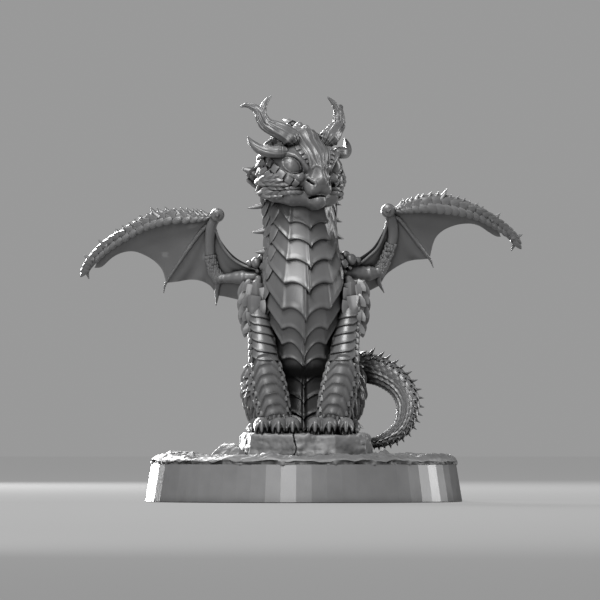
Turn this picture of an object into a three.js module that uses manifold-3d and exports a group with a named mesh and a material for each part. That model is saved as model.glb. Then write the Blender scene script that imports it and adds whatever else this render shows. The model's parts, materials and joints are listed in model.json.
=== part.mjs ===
// A young dragon sitting upright on a stepped rock, on a round display base: a resin kit of castings.
// Millimetres, +Z up. The origin is the middle of the base's underside, and the dragon faces -Y.
// "left" and "right" are the dragon's own, so its right side is on -X.
import * as THREE from "three";
import { mergeVertices } from "three/addons/utils/BufferGeometryUtils.js";
import Module from "manifold-3d";

const wasm = await Module();
wasm.setup();

// ---- driving dimensions ----
const BASE_RADIUS = 25;
const BASE_TOP_RADIUS = 24;
const BASE_HEIGHT = 6;
const GROUND_TOP = 7.5;
const ROCK_TOP = 10.2;
const GAP = 0.3; // clearance between two castings that meet
const HEAD_CENTRE = new THREE.Vector3(-0.6, -1, 52.4);
const HEAD_YAW = THREE.MathUtils.degToRad(30); // the head looks towards its own left
const SOLE = ROCK_TOP + GAP;

const resin = new THREE.MeshStandardMaterial({ color: 0x7d7d7d, roughness: 0.42, metalness: 0 });
const stone = new THREE.MeshStandardMaterial({ color: 0x767676, roughness: 0.55, metalness: 0 });
const plinth = new THREE.MeshStandardMaterial({ color: 0x7a7a7a, roughness: 0.38, metalness: 0 });
const brass = new THREE.MeshStandardMaterial({ color: 0xb08d4a, roughness: 0.3, metalness: 1 });

const group = new THREE.Group();

// ---- solids ----
function solid(geometry) {
  const bare = geometry.clone();
  bare.deleteAttribute("normal");
  bare.deleteAttribute("uv");
  const merged = mergeVertices(bare, 1e-4);
  const vertProperties = new Float32Array(merged.attributes.position.array);
  const triVerts = new Uint32Array(merged.index.array);
  return new wasm.Manifold(new wasm.Mesh({ numProp: 3, vertProperties, triVerts }));
}

function add(name, body, material) {
  const { numProp, vertProperties, triVerts } = body.getMesh();
  const count = vertProperties.length / numProp;
  const position = new Float32Array(count * 3);
  for (let i = 0; i < count; i++)
    position.set(vertProperties.subarray(i * numProp, i * numProp + 3), i * 3);
  const geometry = new THREE.BufferGeometry();
  geometry.setAttribute("position", new THREE.BufferAttribute(position, 3));
  geometry.setIndex(new THREE.BufferAttribute(new Uint32Array(triVerts), 1));
  geometry.computeVertexNormals();
  const piece = new THREE.Mesh(geometry, material);
  piece.name = name;
  group.add(piece);
}

// Only the largest body of a cut survives, so that no sliver is left behind.
function largest(body) {
  return body.decompose().reduce((a, b) => (b.volume() > a.volume() ? b : a));
}

// A limb follows its stations [x, y, z, half width, half depth]; `across` is the way its width points.
function limb(stations, { across = [1, 0, 0], sides = 14, perStation = 2, grow = 0 } = {}) {
  const spine = new THREE.CatmullRomCurve3(stations.map(([x, y, z]) => new THREE.Vector3(x, y, z)));
  const sizes = new THREE.CatmullRomCurve3(stations.map((s) => new THREE.Vector3(s[3], s[4] ?? s[3], 0)));
  const steps = (stations.length - 1) * perStation;
  const geometry = new THREE.CylinderGeometry(1, 1, 1, sides, steps);
  const at = geometry.attributes.position;
  const side = new THREE.Vector3(...across);
  for (let i = 0; i < at.count; i++) {
    const t = THREE.MathUtils.clamp(at.getY(i) + 0.5, 0, 1);
    const tangent = spine.getTangent(t);
    const wide = side.clone().addScaledVector(tangent, -side.dot(tangent)).normalize();
    const deep = new THREE.Vector3().crossVectors(wide, tangent);
    const size = sizes.getPoint(t);
    const end = t === 0 ? -grow : t === 1 ? grow : 0;
    const p = spine
      .getPoint(t)
      .addScaledVector(wide, at.getX(i) * (size.x + grow))
      .addScaledVector(deep, at.getZ(i) * (size.y + grow))
      .addScaledVector(tangent, end);
    at.setXYZ(i, p.x, p.y, p.z);
  }
  return solid(geometry);
}

function ellipsoid([x, y, z], [rx, ry, rz], { grow = 0, yaw = 0, detail = 12 } = {}) {
  const geometry = new THREE.SphereGeometry(1, detail, Math.round(detail * 0.6));
  geometry.scale(rx + grow, ry + grow, rz + grow);
  geometry.rotateZ(yaw);
  geometry.translate(x, y, z);
  return solid(geometry);
}

function rod(from, to, radius, grow = 0) {
  const a = new THREE.Vector3(...from);
  const b = new THREE.Vector3(...to);
  const way = b.clone().sub(a);
  const geometry = new THREE.CylinderGeometry(radius + grow, radius + grow, way.length() + 2 * grow, 12);
  geometry.applyQuaternion(
    new THREE.Quaternion().setFromUnitVectors(new THREE.Vector3(0, 1, 0), way.normalize()),
  );
  geometry.translate((a.x + b.x) / 2, (a.y + b.y) / 2, (a.z + b.z) / 2);
  return solid(geometry);
}

// Everything under one height: what a casting standing on the rock is cut off by.
function below(height) {
  const geometry = new THREE.BoxGeometry(3 * BASE_RADIUS, 3 * BASE_RADIUS, height);
  geometry.translate(0, 0, height / 2);
  return solid(geometry);
}

// A slab of stone: a plan outline of [x, y] corners, drawn in towards its top by `batter`.
function slab(corners, bottom, top, batter = 0) {
  const outline = new THREE.Shape(corners.map(([x, y]) => new THREE.Vector2(x, y)));
  const geometry = new THREE.ExtrudeGeometry(outline, { depth: top - bottom, bevelEnabled: false });
  const at = geometry.attributes.position;
  const mid = corners.reduce(([a, b], [x, y]) => [a + x / corners.length, b + y / corners.length], [0, 0]);
  for (let i = 0; i < at.count; i++) {
    if (at.getZ(i) < 1e-6) continue;
    const dx = at.getX(i) - mid[0];
    const dy = at.getY(i) - mid[1];
    const shrink = 1 - batter / Math.hypot(dx, dy);
    at.setXY(i, mid[0] + dx * shrink, mid[1] + dy * shrink);
  }
  geometry.translate(0, 0, bottom);
  return solid(geometry);
}

// Head coordinates to the row frame: towards the dragon's left, forward, and height above the base.
function inHead(left, forward, height) {
  const c = Math.cos(HEAD_YAW);
  const s = Math.sin(HEAD_YAW);
  return [HEAD_CENTRE.x + c * left + s * forward, HEAD_CENTRE.y + s * left - c * forward, height];
}

// ---- base and rocks ----
function base() {
  const rim = [
    [0, 0],
    [BASE_RADIUS, 0],
    [BASE_TOP_RADIUS, BASE_HEIGHT],
    [0, BASE_HEIGHT],
  ];
  const geometry = new THREE.LatheGeometry(rim.map(([r, z]) => new THREE.Vector2(r, z)), 72);
  geometry.rotateX(Math.PI / 2);
  return solid(geometry);
}

// The ground's edge wanders in and out a little, as broken stone does.
function ground() {
  const corners = [];
  const count = 40;
  for (let i = 0; i < count; i++) {
    const a = (i / count) * 2 * Math.PI;
    const r = BASE_TOP_RADIUS - 0.6 + 0.25 * Math.sin(5 * a) + 0.15 * Math.cos(11 * a);
    corners.push([r * Math.cos(a), r * Math.sin(a)]);
  }
  return slab(corners, BASE_HEIGHT + GAP, GROUND_TOP, 0.7);
}

const ROCK_FOOT = GROUND_TOP + GAP;
const LEDGE_TOP = 8.8;
const CRACK_X = -1.4;
const rocks = {
  rock_slab_right: slab(
    [[-8.9, -8.6], [CRACK_X - GAP / 2, -10.4], [CRACK_X - GAP / 2, 13], [-6.5, 13.6], [-10.4, 9], [-10.6, 0]],
    ROCK_FOOT, ROCK_TOP, 0.5,
  ),
  rock_slab_left: slab(
    [[CRACK_X + GAP / 2, -10.4], [5, -10.8], [9.8, -8.8], [11, -2], [10.6, 9.5], [6, 13.8], [CRACK_X + GAP / 2, 13]],
    ROCK_FOOT, ROCK_TOP, 0.5,
  ),
  ledge_right: slab([[-14.4, -6], [-10, -9.8], [-9.4, -8.2], [-11, -0.5], [-13.2, 1.5]], ROCK_FOOT, LEDGE_TOP, 0.4),
  ledge_left: slab([[11.5, -1.2], [13.2, -0.6], [14, 3], [13.4, 6.5], [11.3, 7.4]], ROCK_FOOT, LEDGE_TOP, 0.3),
};

// ---- the dragon's castings ----
const TORSO = [
  [0, 5.2, SOLE, 5.2, 5],
  [0, 5.2, 14, 6, 5.6],
  [0, 4.6, 18, 5.6, 5.3],
  [0, 1.8, 24, 5.4, 5.2],
  [0, 0, 29, 5.9, 5.6],
  [0, -0.5, 33, 6.2, 5.7],
  [-0.1, -0.2, 37, 5.9, 5.2],
  [-0.3, 0.2, 41, 5.6, 4.7],
  [-0.8, 0.3, 45, 5, 4.4],
  [-1, 0, 48.2, 4, 3.9],
];
const torso = (grow = 0) => limb(TORSO, { sides: 18, perStation: 1, grow });

const head = (grow = 0) =>
  ellipsoid(inHead(0, -0.4, 52.2), [5.4, 5.6, 4.9], { grow, yaw: HEAD_YAW, detail: 16 })
    .add(ellipsoid(inHead(0, 4.6, 50), [2.9, 3, 2.6], { grow, yaw: HEAD_YAW }))
    .add(ellipsoid(inHead(0, 4.3, 48), [2.1, 2.6, 1.7], { grow, yaw: HEAD_YAW }))
    .add(ellipsoid(inHead(0, 0.6, 50.2), [6.9, 3.6, 2.6], { grow, yaw: HEAD_YAW }))
    .add(ellipsoid(inHead(0, -1.4, 55.6), [2.6, 3.4, 3.4], { grow, yaw: HEAD_YAW }));

const SIDES = { right: -1, left: 1 };

function horn(side, grow = 0) {
  const at = (l, f, z, r) => [...inHead(side * l, f, z), r, r];
  const across = [0, 1, 0.01];
  const beam = limb(
    [at(2.6, 1.4, 56, 1.5), at(4.2, 1, 58, 1.45), at(6.4, 0.5, 59.6, 1.2), at(7.7, -0.2, 61.2, 0.85),
      at(8.4, -1.4, 62.5, 0.55), at(9, -2.6, 62.3, 0.2)],
    { across, sides: 10, grow },
  );
  const tine = limb(
    [at(7.3, 0, 60.6, 0.6), at(6.6, -0.1, 62.2, 0.5), at(5.3, -0.4, 63.9, 0.16)],
    { across, sides: 8, grow },
  );
  return beam.add(tine).subtract(head(GAP));
}

function browHorn(side) {
  const at = (l, f, z, r) => [...inHead(side * l, f, z), r, r * 0.85];
  const path = [at(4.4, 2.6, 55.6, 1.2), at(6.8, 2, 55, 1.15), at(8.6, 0.8, 55.6, 0.8), at(9.2, -0.8, 57.5, 0.2)];
  return limb(path, { across: [0, 1, 0.01], sides: 10 }).subtract(head(GAP));
}

// The foreleg runs from the scaled shoulder down to the wrist; the paw spreads forward of it.
const FORELEG = [
  [6.9, 0.4, 35.4, 0.7, 1],
  [7.2, 0, 33.4, 1.9, 2.7],
  [7.1, -0.6, 30.4, 2.5, 3],
  [6.7, -1.8, 27, 1.9, 2.1],
  [6.5, -2.8, 23.8, 2, 2.1],
  [6.3, -3.6, 20.4, 2.8, 2.5],
  [5.6, -4.2, 16.6, 3, 2.5],
  [4.9, -4.8, 13.4, 2.6, 2.2],
  [4.5, -5.2, SOLE, 2.3, 2.2],
];
function foreleg(side, grow = 0) {
  const leg = limb(FORELEG.map(([x, ...rest]) => [side * x, ...rest]), { grow });
  const paw = ellipsoid([side * 4.3, -6.4, SOLE], [3.9, 3.4, 2.4], { grow, detail: 14 });
  return leg.add(paw).subtract(below(SOLE - grow));
}

// The hind leg is folded: a broad thigh, and a foot that comes forward beside the front paw.
function haunch(side, grow = 0) {
  const thigh = ellipsoid([side * 6.4, 4.4, 17.4], [3.1, 5.6, 5.2], { grow, detail: 14 });
  const shin = limb(
    [[side * 7, 1, 17, 1.5, 1.9], [side * 6.8, 1.2, 13.6, 1.3, 1.8], [side * 6.7, 0, SOLE, 1.4, 2]],
    { grow, sides: 12 },
  );
  const foot = ellipsoid([side * 6.8, -0.6, SOLE], [1.6, 3, 1.9], { grow });
  return thigh.add(shin).add(foot).subtract(below(SOLE - grow));
}

const TAIL = [
  [0.6, 9.4, 15.2, 2.6],
  [4.6, 10.4, 18.8, 2.4],
  [9.2, 9.5, 20.9, 2.1],
  [13.2, 7.9, 19.7, 1.9],
  [15.9, 6.1, 16.4, 1.6],
  [15.9, 4.8, 13.2, 1.3],
  [14.2, 3.8, 10.9, 0.95],
  [12.2, 3.2, 9.8, 0.4],
];
const tail = (grow = 0) => limb(TAIL, { across: [0, 1, 0], sides: 12, grow });

// ---- wings ----
// A wing lies near one plane: out from the shoulder, swept back by SWEEP, its top leaning forward by LEAN.
const SWEEP = THREE.MathUtils.degToRad(13);
const LEAN = THREE.MathUtils.degToRad(18);
const WING_ROOT = { x: 6.8, y: 3.2, z: 36 };
const wingDepth = (x, z) =>
  WING_ROOT.y + (x - WING_ROOT.x) * Math.tan(SWEEP) + (WING_ROOT.z - z) * Math.tan(LEAN);
const MEMBRANE = 0.7;
const WINGS = {
  right: {
    shoulder: [6.6, 35.4], elbow: [13.4, 35.3], wrist: [13.65, 45.2],
    lead: [[17.2, 44.9], [21.3, 44.9], [24.6, 44], [28, 42.3], [31, 40.4], [33.2, 38.3], [34.3, 36.6], [34.1, 35.3]],
    mid: [[16.6, 42.2], [20, 37.4], [22.1, 33.4]],
    inner: [[13.7, 33.6], [13.9, 31.4]],
    edge: [[33.4, 37], [32, 37.2], [30.4, 38.6], [27, 39.6], [23.6, 38], [22.4, 36.6], [22, 33.8], [20, 34.8],
      [17.4, 35.1], [14.8, 34.1], [13.9, 31.9], [12.4, 32.4], [9.3, 31.6]],
    fore: [[8.1, 36.8], [11.7, 38.8], [13.1, 40.8]],
  },
  left: {
    shoulder: [6.8, 36.3], elbow: [12, 36.4], wrist: [13.3, 45.9],
    lead: [[16.4, 46.6], [19.8, 47.4], [23.4, 47], [27, 45.6], [30, 44.1], [32.2, 42.5], [33.3, 41], [32.9, 39.7]],
    mid: [[15.4, 44.2], [18.6, 40], [20.4, 37.4]],
    inner: [[11.9, 35.2], [12.6, 33.4]],
    edge: [[32.2, 41.4], [30.4, 42], [28.4, 43.3], [25.4, 44], [22.1, 42.9], [20.7, 41.4], [20.3, 37.8], [18.7, 38.2],
      [16, 37.8], [14.2, 36.8], [12.6, 33.9], [11.3, 33.8], [8.9, 32.6]],
    fore: [[8.6, 37.5], [10.2, 38.7], [12.2, 41.2]],
  },
};

function wing(name) {
  const side = SIDES[name];
  const { shoulder, elbow, wrist, lead, mid, inner, edge, fore } = WINGS[name];
  const at = ([x, z], r) => [side * x, wingDepth(x, z), z, r, r];
  const bone = (points, r0, r1) =>
    limb(points.map((p, i) => at(p, r0 + ((r1 - r0) * i) / (points.length - 1))), { across: [0, 1, 0.01], sides: 8 });
  const outline = [shoulder, ...fore, wrist, ...lead.slice(0, -1), ...edge];
  const sheet = new THREE.ExtrudeGeometry(
    new THREE.Shape(outline.map(([x, z]) => new THREE.Vector2(x, z))),
    { depth: MEMBRANE, bevelEnabled: false },
  );
  const v = sheet.attributes.position;
  for (let i = 0; i < v.count; i++) {
    const [x, z] = [v.getX(i), v.getY(i)];
    v.setXYZ(i, side * x, wingDepth(x, z) - side * (v.getZ(i) - MEMBRANE / 2), z);
  }
  const membrane = solid(sheet);
  const arm = bone([[shoulder[0] - 0.6, shoulder[1]], [(shoulder[0] + elbow[0]) / 2, elbow[1]], elbow], 1.3, 1);
  return membrane
    .add(arm)
    .add(bone([elbow, [wrist[0] + 0.9, (elbow[1] + wrist[1]) / 2], wrist], 0.9, 0.8))
    .add(ellipsoid(at(wrist, 0).slice(0, 3), [1.1, 1.1, 1.1]))
    .add(bone([wrist, ...lead], 1, 0.35))
    .add(bone([wrist, ...mid], 0.6, 0.35))
    .add(bone([elbow, ...inner], 0.6, 0.35));
}

// ---- pins: brass rod glued into a bore on each side of the joint ----
const PINS = {
  neck_pin: [[-0.9, 0, 43], [-0.9, -0.4, 51.5], 1],
  seat_pin: [[0, 5, 8.2], [0, 5, 14.5], 1],
  tail_pin: [[0.6, 6, 15.2], [1.4, 10.4, 16.2], 0.7],
};
for (const [name, side] of Object.entries(SIDES)) {
  PINS[`foreleg_pin_${name}`] = [[side * 3.6, -0.8, 31.4], [side * 7.4, -0.8, 31.4], 0.6];
  PINS[`haunch_pin_${name}`] = [[side * 3.6, 4.4, 17.4], [side * 7.6, 4.4, 17.4], 0.6];
  PINS[`paw_pin_${name}`] = [[side * 4.4, -6, 8.2], [side * 4.4, -6, 12.2], 0.45];
  const [, z] = WINGS[name].shoulder;
  PINS[`wing_pin_${name}`] = [[side * 3.4, wingDepth(3.4, z), z], [side * 8.6, wingDepth(8.6, z), z], 0.6];
}
const PIN_CLEARANCE = 0.1;
const bores = Object.values(PINS)
  .map(([from, to, radius]) => rod(from, to, radius, PIN_CLEARANCE))
  .reduce((a, b) => a.add(b));

// ---- assembly: each casting is cut back from those it is glued to ----
const bodyGrown = torso(GAP);
const castings = {
  torso: torso(),
  head: head().subtract(bodyGrown),
  tail: tail(),
};
for (const [name, side] of Object.entries(SIDES)) {
  castings[`horn_${name}`] = horn(side);
  castings[`brow_horn_${name}`] = browHorn(side).subtract(horn(side, GAP));
  castings[`foreleg_${name}`] = foreleg(side).subtract(bodyGrown);
  castings[`haunch_${name}`] = haunch(side).subtract(bodyGrown).subtract(foreleg(side, GAP));
  castings[`wing_${name}`] = wing(name).subtract(bodyGrown).subtract(foreleg(side, GAP));
}
const seatGrown = haunch(SIDES.right, GAP).add(haunch(SIDES.left, GAP)).add(bodyGrown);
castings.tail = castings.tail.subtract(seatGrown).subtract(below(LEDGE_TOP + GAP));

add("base_rim", base(), plinth);
add("ground", ground(), stone);
for (const [name, rock] of Object.entries(rocks))
  add(name, largest(rock.subtract(bores).subtract(tail(GAP))), stone);
for (const [name, casting] of Object.entries(castings)) add(name, largest(casting.subtract(bores)), resin);
for (const [name, [from, to, radius]] of Object.entries(PINS)) add(name, rod(from, to, radius), brass);

export default group;
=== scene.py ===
import json
from math import cos, pi, radians, sin, tau

import bpy
import numpy as np
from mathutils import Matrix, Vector


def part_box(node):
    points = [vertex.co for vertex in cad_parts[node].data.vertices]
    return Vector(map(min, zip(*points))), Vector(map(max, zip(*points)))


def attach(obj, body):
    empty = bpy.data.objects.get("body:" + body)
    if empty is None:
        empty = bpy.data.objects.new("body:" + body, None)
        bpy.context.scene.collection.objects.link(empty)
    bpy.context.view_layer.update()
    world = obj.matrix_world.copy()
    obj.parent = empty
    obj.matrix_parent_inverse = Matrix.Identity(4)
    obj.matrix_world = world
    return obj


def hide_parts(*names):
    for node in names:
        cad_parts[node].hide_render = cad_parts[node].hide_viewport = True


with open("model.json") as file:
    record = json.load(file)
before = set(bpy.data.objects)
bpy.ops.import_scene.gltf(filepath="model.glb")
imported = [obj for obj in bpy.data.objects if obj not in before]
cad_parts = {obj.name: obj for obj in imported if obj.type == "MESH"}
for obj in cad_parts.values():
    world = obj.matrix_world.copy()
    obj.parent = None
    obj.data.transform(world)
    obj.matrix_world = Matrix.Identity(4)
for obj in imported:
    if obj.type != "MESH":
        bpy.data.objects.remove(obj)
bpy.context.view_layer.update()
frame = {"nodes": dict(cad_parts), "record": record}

MM = 0.001
FRONT = np.array([0.0, -1.0, 0.0])
UP = np.array([0.0, 0.0, 1.0])
RIGHT, LEFT = -1, 1  # the dragon's own sides, as signs of x
SIDE_NAMES = {RIGHT: "right", LEFT: "left"}


def corners(node):
    """The lowest and highest corner of a CAD node, in millimetres."""
    return tuple(np.array(corner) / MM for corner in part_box(node))


ROCK_TOP = corners("rock_slab_left")[1][2]
LEDGE_TOP = corners("ledge_left")[1][2]
GROUND_TOP = corners("ground")[1][2]
BASE_TOP = corners("base_rim")[1][2]
BASE_RADIUS = corners("base_rim")[1][0]
RIM_RADIUS = BASE_RADIUS - 1.0
SOLE = ROCK_TOP + 0.3


# ---------------------------------------------------------------- numbers
def unit(v):
    return v / np.maximum(np.linalg.norm(v, axis=-1, keepdims=True), 1e-9)


def smooth_path(points, count):
    """Catmull-Rom through the points, sampled `count` times."""
    p = np.asarray(points, float)
    padded = np.vstack([2 * p[0] - p[1], p, 2 * p[-1] - p[-2]])
    t = np.linspace(0, len(p) - 1, count)
    i = np.minimum(t.astype(int), len(p) - 2)
    f = (t - i)[:, None]
    a, b, c, d = padded[i], padded[i + 1], padded[i + 2], padded[i + 3]
    return 0.5 * (2 * b + (c - a) * f + (2 * a - 5 * b + 4 * c - d) * f**2 + (3 * b - a - 3 * c + d) * f**3)


LATTICE = np.random.default_rng(11).random((32, 32, 32)) * 2 - 1


def noise(p, scale):
    """Smooth noise from -1 to 1, with features about `scale` millimetres across."""
    q = np.asarray(p) / scale + 64
    i = np.floor(q).astype(int)
    f = q - i
    f = f * f * (3 - 2 * f)
    total = 0
    for corner in np.ndindex(2, 2, 2):
        weight = np.prod([f[..., k] if corner[k] else 1 - f[..., k] for k in range(3)], axis=0)
        total = total + weight * LATTICE[tuple((i[..., k] + corner[k]) % 32 for k in range(3))]
    return total


# ---------------------------------------------------------------- clay: meshes gathered in millimetres
def grid_quads(index):
    """The quads of a grid of vertex numbers."""
    return np.stack([index[:-1, :-1], index[:-1, 1:], index[1:, 1:], index[1:, :-1]], -1).reshape(-1, 4)


def outer_edge(index):
    """The vertex numbers around the edge of a grid, in order."""
    return np.concatenate([index[0, :-1], index[:-1, -1], index[-1, :0:-1], index[:0:-1, 0]])


class Clay:
    """The vertices and faces of one piece."""

    def __init__(self):
        self.verts = []
        self.faces = []
        self.count = 0

    def add(self, verts, faces):
        verts = np.asarray(verts, float).reshape(-1, 3)
        self.verts.append(verts)
        self.faces.extend((np.asarray(f, int) + self.count) for f in faces)
        self.count += len(verts)

    def tube(self, rings):
        """Rings of points (rows, sides, 3), wound to face out, with a cap at each end."""
        rows, sides = rings.shape[:2]
        index = np.arange(rows * sides).reshape(rows, sides)
        wrapped = np.hstack([index, index[:, :1]])
        ends = rings[[0, -1]].mean(axis=1)
        first, last = rows * sides, rows * sides + 1
        start = np.stack([wrapped[0, 1:], wrapped[0, :-1], np.full(sides, first)], -1)
        finish = np.stack([wrapped[-1, :-1], wrapped[-1, 1:], np.full(sides, last)], -1)
        self.add(np.vstack([rings.reshape(-1, 3), ends]), [grid_quads(wrapped), start, finish])

    def shell(self, top, bottom):
        """Two grids of the same size, closed around their edges; top faces out."""
        rows, columns = top.shape[:2]
        index = np.arange(rows * columns).reshape(rows, columns)
        quads = grid_quads(index)
        edge = outer_edge(index)
        after = np.roll(edge, -1)
        wall = np.stack([after, edge, edge + rows * columns, after + rows * columns], -1)
        back = (quads + rows * columns)[:, ::-1]
        self.add(np.vstack([top.reshape(-1, 3), bottom.reshape(-1, 3)]), [quads, back, wall])


def make(name, clay, slot, replaces=(), sharp=48, flat=False):
    """Turns clay into a Blender piece that rides on the figure."""
    mesh = bpy.data.meshes.new(name)
    verts = np.concatenate(clay.verts) * MM
    faces = [face for block in clay.faces for face in np.atleast_2d(block).tolist()]
    mesh.from_pydata(verts, [], faces)
    mesh.validate()
    if not flat:
        mesh.shade_smooth()
        mesh.set_sharp_from_angle(angle=radians(sharp))
    piece = bpy.data.objects.new(name, mesh)
    bpy.context.scene.collection.objects.link(piece)
    mesh.materials.append(MATERIALS[slot])
    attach(piece, "root")
    for node in replaces:
        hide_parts(node)


# ---------------------------------------------------------------- limbs: tubes with a surface to work on
class Limb:
    """A tube along stations (x, y, z, half width[, half depth]); its angle 0 faces `front`."""

    def __init__(self, stations, front=FRONT, level=False):
        full = [list(s) + [s[3]] * (len(s) == 4) for s in stations]
        self.n = 24 * len(full)
        dense = smooth_path(full, self.n)
        self.path = dense[:, :3]
        self.size = np.maximum(dense[:, 3:5], 0.02)
        self.along = unit(np.gradient(self.path, axis=0))
        front = np.asarray(front, float)
        self.deep = unit(front - (self.along @ front)[:, None] * self.along)
        self.side = np.cross(self.along, self.deep)
        if level:  # every section lies flat, whatever the lean of the tube
            upright = np.sign(self.along[:, 2:]) * UP
            self.deep = np.broadcast_to(front, upright.shape)
            self.side = np.cross(upright, self.deep)

    def pick(self, table, u):
        f = np.clip(u, 0, 1) * (self.n - 1)
        i = np.minimum(f.astype(int), self.n - 2)
        f = (f - i)[..., None]
        return table[i] * (1 - f) + table[i + 1] * f

    def surface(self, u, a):
        """Points and outward normals at u along (0..1) and angle a."""
        u, a = np.broadcast_arrays(np.asarray(u, float), np.asarray(a, float))
        size = self.pick(self.size, u)
        deep = unit(self.pick(self.deep, u))
        side = unit(self.pick(self.side, u))
        c, s = np.cos(a)[..., None], np.sin(a)[..., None]
        width, depth = size[..., :1], size[..., 1:]
        point = self.pick(self.path, u) + deep * c * depth + side * s * width
        return point, unit(deep * c / depth + side * s / width)

    def heading(self, u):
        return unit(self.pick(self.along, u))

    def add_to(self, clay, rows=40, sides=24, relief=None, dome=0.6):
        """Adds the tube, with relief(u, a) millimetres of height and domed ends."""
        u = np.linspace(0, 1, rows)
        a = np.arange(sides) / sides * tau
        grid_u, grid_a = np.meshgrid(u, a, indexing="ij")
        point, normal = self.surface(grid_u, grid_a)
        if relief is not None:
            point = point + normal * relief(grid_u, grid_a)[..., None]
        rings = [point]
        for end, turn in ((0, -1), (-1, 1)):
            centre = self.path[end]
            reach = self.size[end].mean() * dome
            caps = []
            for q in (0.35, 0.65, 0.88):
                narrowed = centre + (point[end] - centre) * cos(q * pi / 2)
                caps.append(narrowed + turn * self.along[end] * reach * sin(q * pi / 2))
            rings = [np.array(caps[::-1])] + rings if end == 0 else rings + [np.array(caps)]
        clay.tube(np.concatenate(rings))


def scale_template(rows, columns, half_width, crown=1.0, keel=0.0):
    """One scale: (across, along, up) points from its root to its tip, and its faces."""
    v = np.sin(np.linspace(0, pi / 2, rows, endpoint=False))
    half = half_width(v)
    half = half / half.max() / 2
    w = np.sin(np.linspace(-pi / 2, pi / 2, columns))
    grid_v, grid_w = np.meshgrid(v, w, indexing="ij")
    ridge = crown * np.sqrt(np.clip(1 - grid_w**2, 0, 1)) + keel * (1 - np.abs(grid_w)) ** 1.5
    up = ridge * (1 - grid_v**2.5)
    top = np.stack([grid_w * half[:, None], grid_v, up], -1)
    under = np.stack([np.zeros(rows), v * 0.98, -0.7 * (1 - v**1.5) - 0.04], -1)
    points = np.vstack([top.reshape(-1, 3), [[0, 1, 0]], under])
    tip = rows * columns
    index = np.arange(tip).reshape(rows, columns)
    low = tip + 1 + np.arange(rows)
    quads = [grid_quads(index)]
    quads.append(np.stack([index[1:, 0], low[1:], low[:-1], index[:-1, 0]], -1))
    quads.append(np.stack([index[:-1, -1], low[:-1], low[1:], index[1:, -1]], -1))
    tris = np.stack([index[-1, :-1], index[-1, 1:], np.full(columns - 1, tip)], -1)
    ends = np.array([[index[-1, 0], tip, low[-1]], [tip, index[-1, -1], low[-1]]])
    root = np.append(index[0, ::-1], low[0])[None, :]
    return points, quads + [tris, ends, root]


def spike_template(rows=8, sides=10, curve=0.6):
    """A round spike that bends up a little towards its point."""
    v = np.linspace(0, 1, rows, endpoint=False)
    a = np.arange(sides) / sides * tau
    grid_v, grid_a = np.meshgrid(v, a, indexing="ij")
    r = 0.5 * (1 - grid_v) ** 0.62
    ring = np.stack([r * np.cos(grid_a), grid_v, r * np.sin(grid_a) + curve * grid_v**2], -1)
    points = np.vstack([ring.reshape(-1, 3), [[0, 1, curve]]])
    index = np.arange(rows * sides).reshape(rows, sides)
    after = np.roll(index, -1, axis=1)
    quads = np.stack([index[:-1], index[1:], after[1:], after[:-1]], -1).reshape(-1, 4)
    tip = np.stack([index[-1], np.full(sides, rows * sides), after[-1]], -1)
    return points, [quads, tip, index[:1]]


def pad_template(n=7):
    """A rounded square scale."""
    v = np.sin(np.linspace(-pi / 2, pi / 2, n))
    y, x = np.meshgrid(v, v, indexing="ij")
    up = np.sqrt(np.sqrt(np.clip((1 - x**4) * (1 - y**4), 0, 1)))
    top = np.stack([x / 2, (y + 1) / 2, up], -1).reshape(-1, 3)
    points = np.vstack([top, [[0, 0.5, -1.2]]])
    index = np.arange(n * n).reshape(n, n)
    edge = outer_edge(index)
    under = np.stack([np.roll(edge, -1), edge, np.full(len(edge), n * n)], -1)
    return points, [grid_quads(index), under]


LEAF = scale_template(8, 7, lambda v: (1 + 0.5 * v) * (1 - v) ** 0.62, crown=0.55, keel=0.55)
LOBE = scale_template(7, 7, lambda v: (0.8 + 0.5 * v) * np.sqrt(1 - v**2.4), crown=0.9, keel=0.1)
FLAME = scale_template(9, 7, lambda v: (0.8 + 1.2 * v) * (1 - v) ** 0.8, crown=0.5, keel=0.9)
CHEEK = scale_template(8, 7, lambda v: (0.9 + 0.7 * v) * (1 - v**2) ** 0.6, crown=0.8, keel=0.5)
THORN = spike_template()
PAD = pad_template()


def leaves(clay, root, way, normal, length, width, thick, lift=0.2, template=LEAF):
    """Adds one scale at each root, pointing along `way` and tipped up by `lift` radians."""
    root = np.asarray(root, float).reshape(-1, 3)
    count = len(root)
    n = unit(np.broadcast_to(normal, (count, 3)))
    d = np.broadcast_to(way, (count, 3))
    d = unit(d - (d * n).sum(-1, keepdims=True) * n)
    lift = np.broadcast_to(lift, count)[:, None]
    along = d * np.cos(lift) + n * np.sin(lift)
    up = n * np.cos(lift) - d * np.sin(lift)
    across = np.cross(along, up)
    points, faces = template
    sizes = np.stack([np.broadcast_to(x, count) for x in (width, length, thick)], -1)
    local = points[None] * sizes[:, None]
    placed = (root[:, None] + local[..., :1] * across[:, None] + local[..., 1:2] * along[:, None]
              + local[..., 2:] * up[:, None])
    offset = (np.arange(count) * len(points))[:, None, None]
    clay.add(placed, [(np.asarray(f)[None] + offset).reshape(-1, np.asarray(f).shape[-1]) for f in faces])


PLATE_STEPS = np.array([0, 0.02, 0.05, 0.1, 0.17, 0.26, 0.38, 0.52, 0.68, 0.84, 1])


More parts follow.
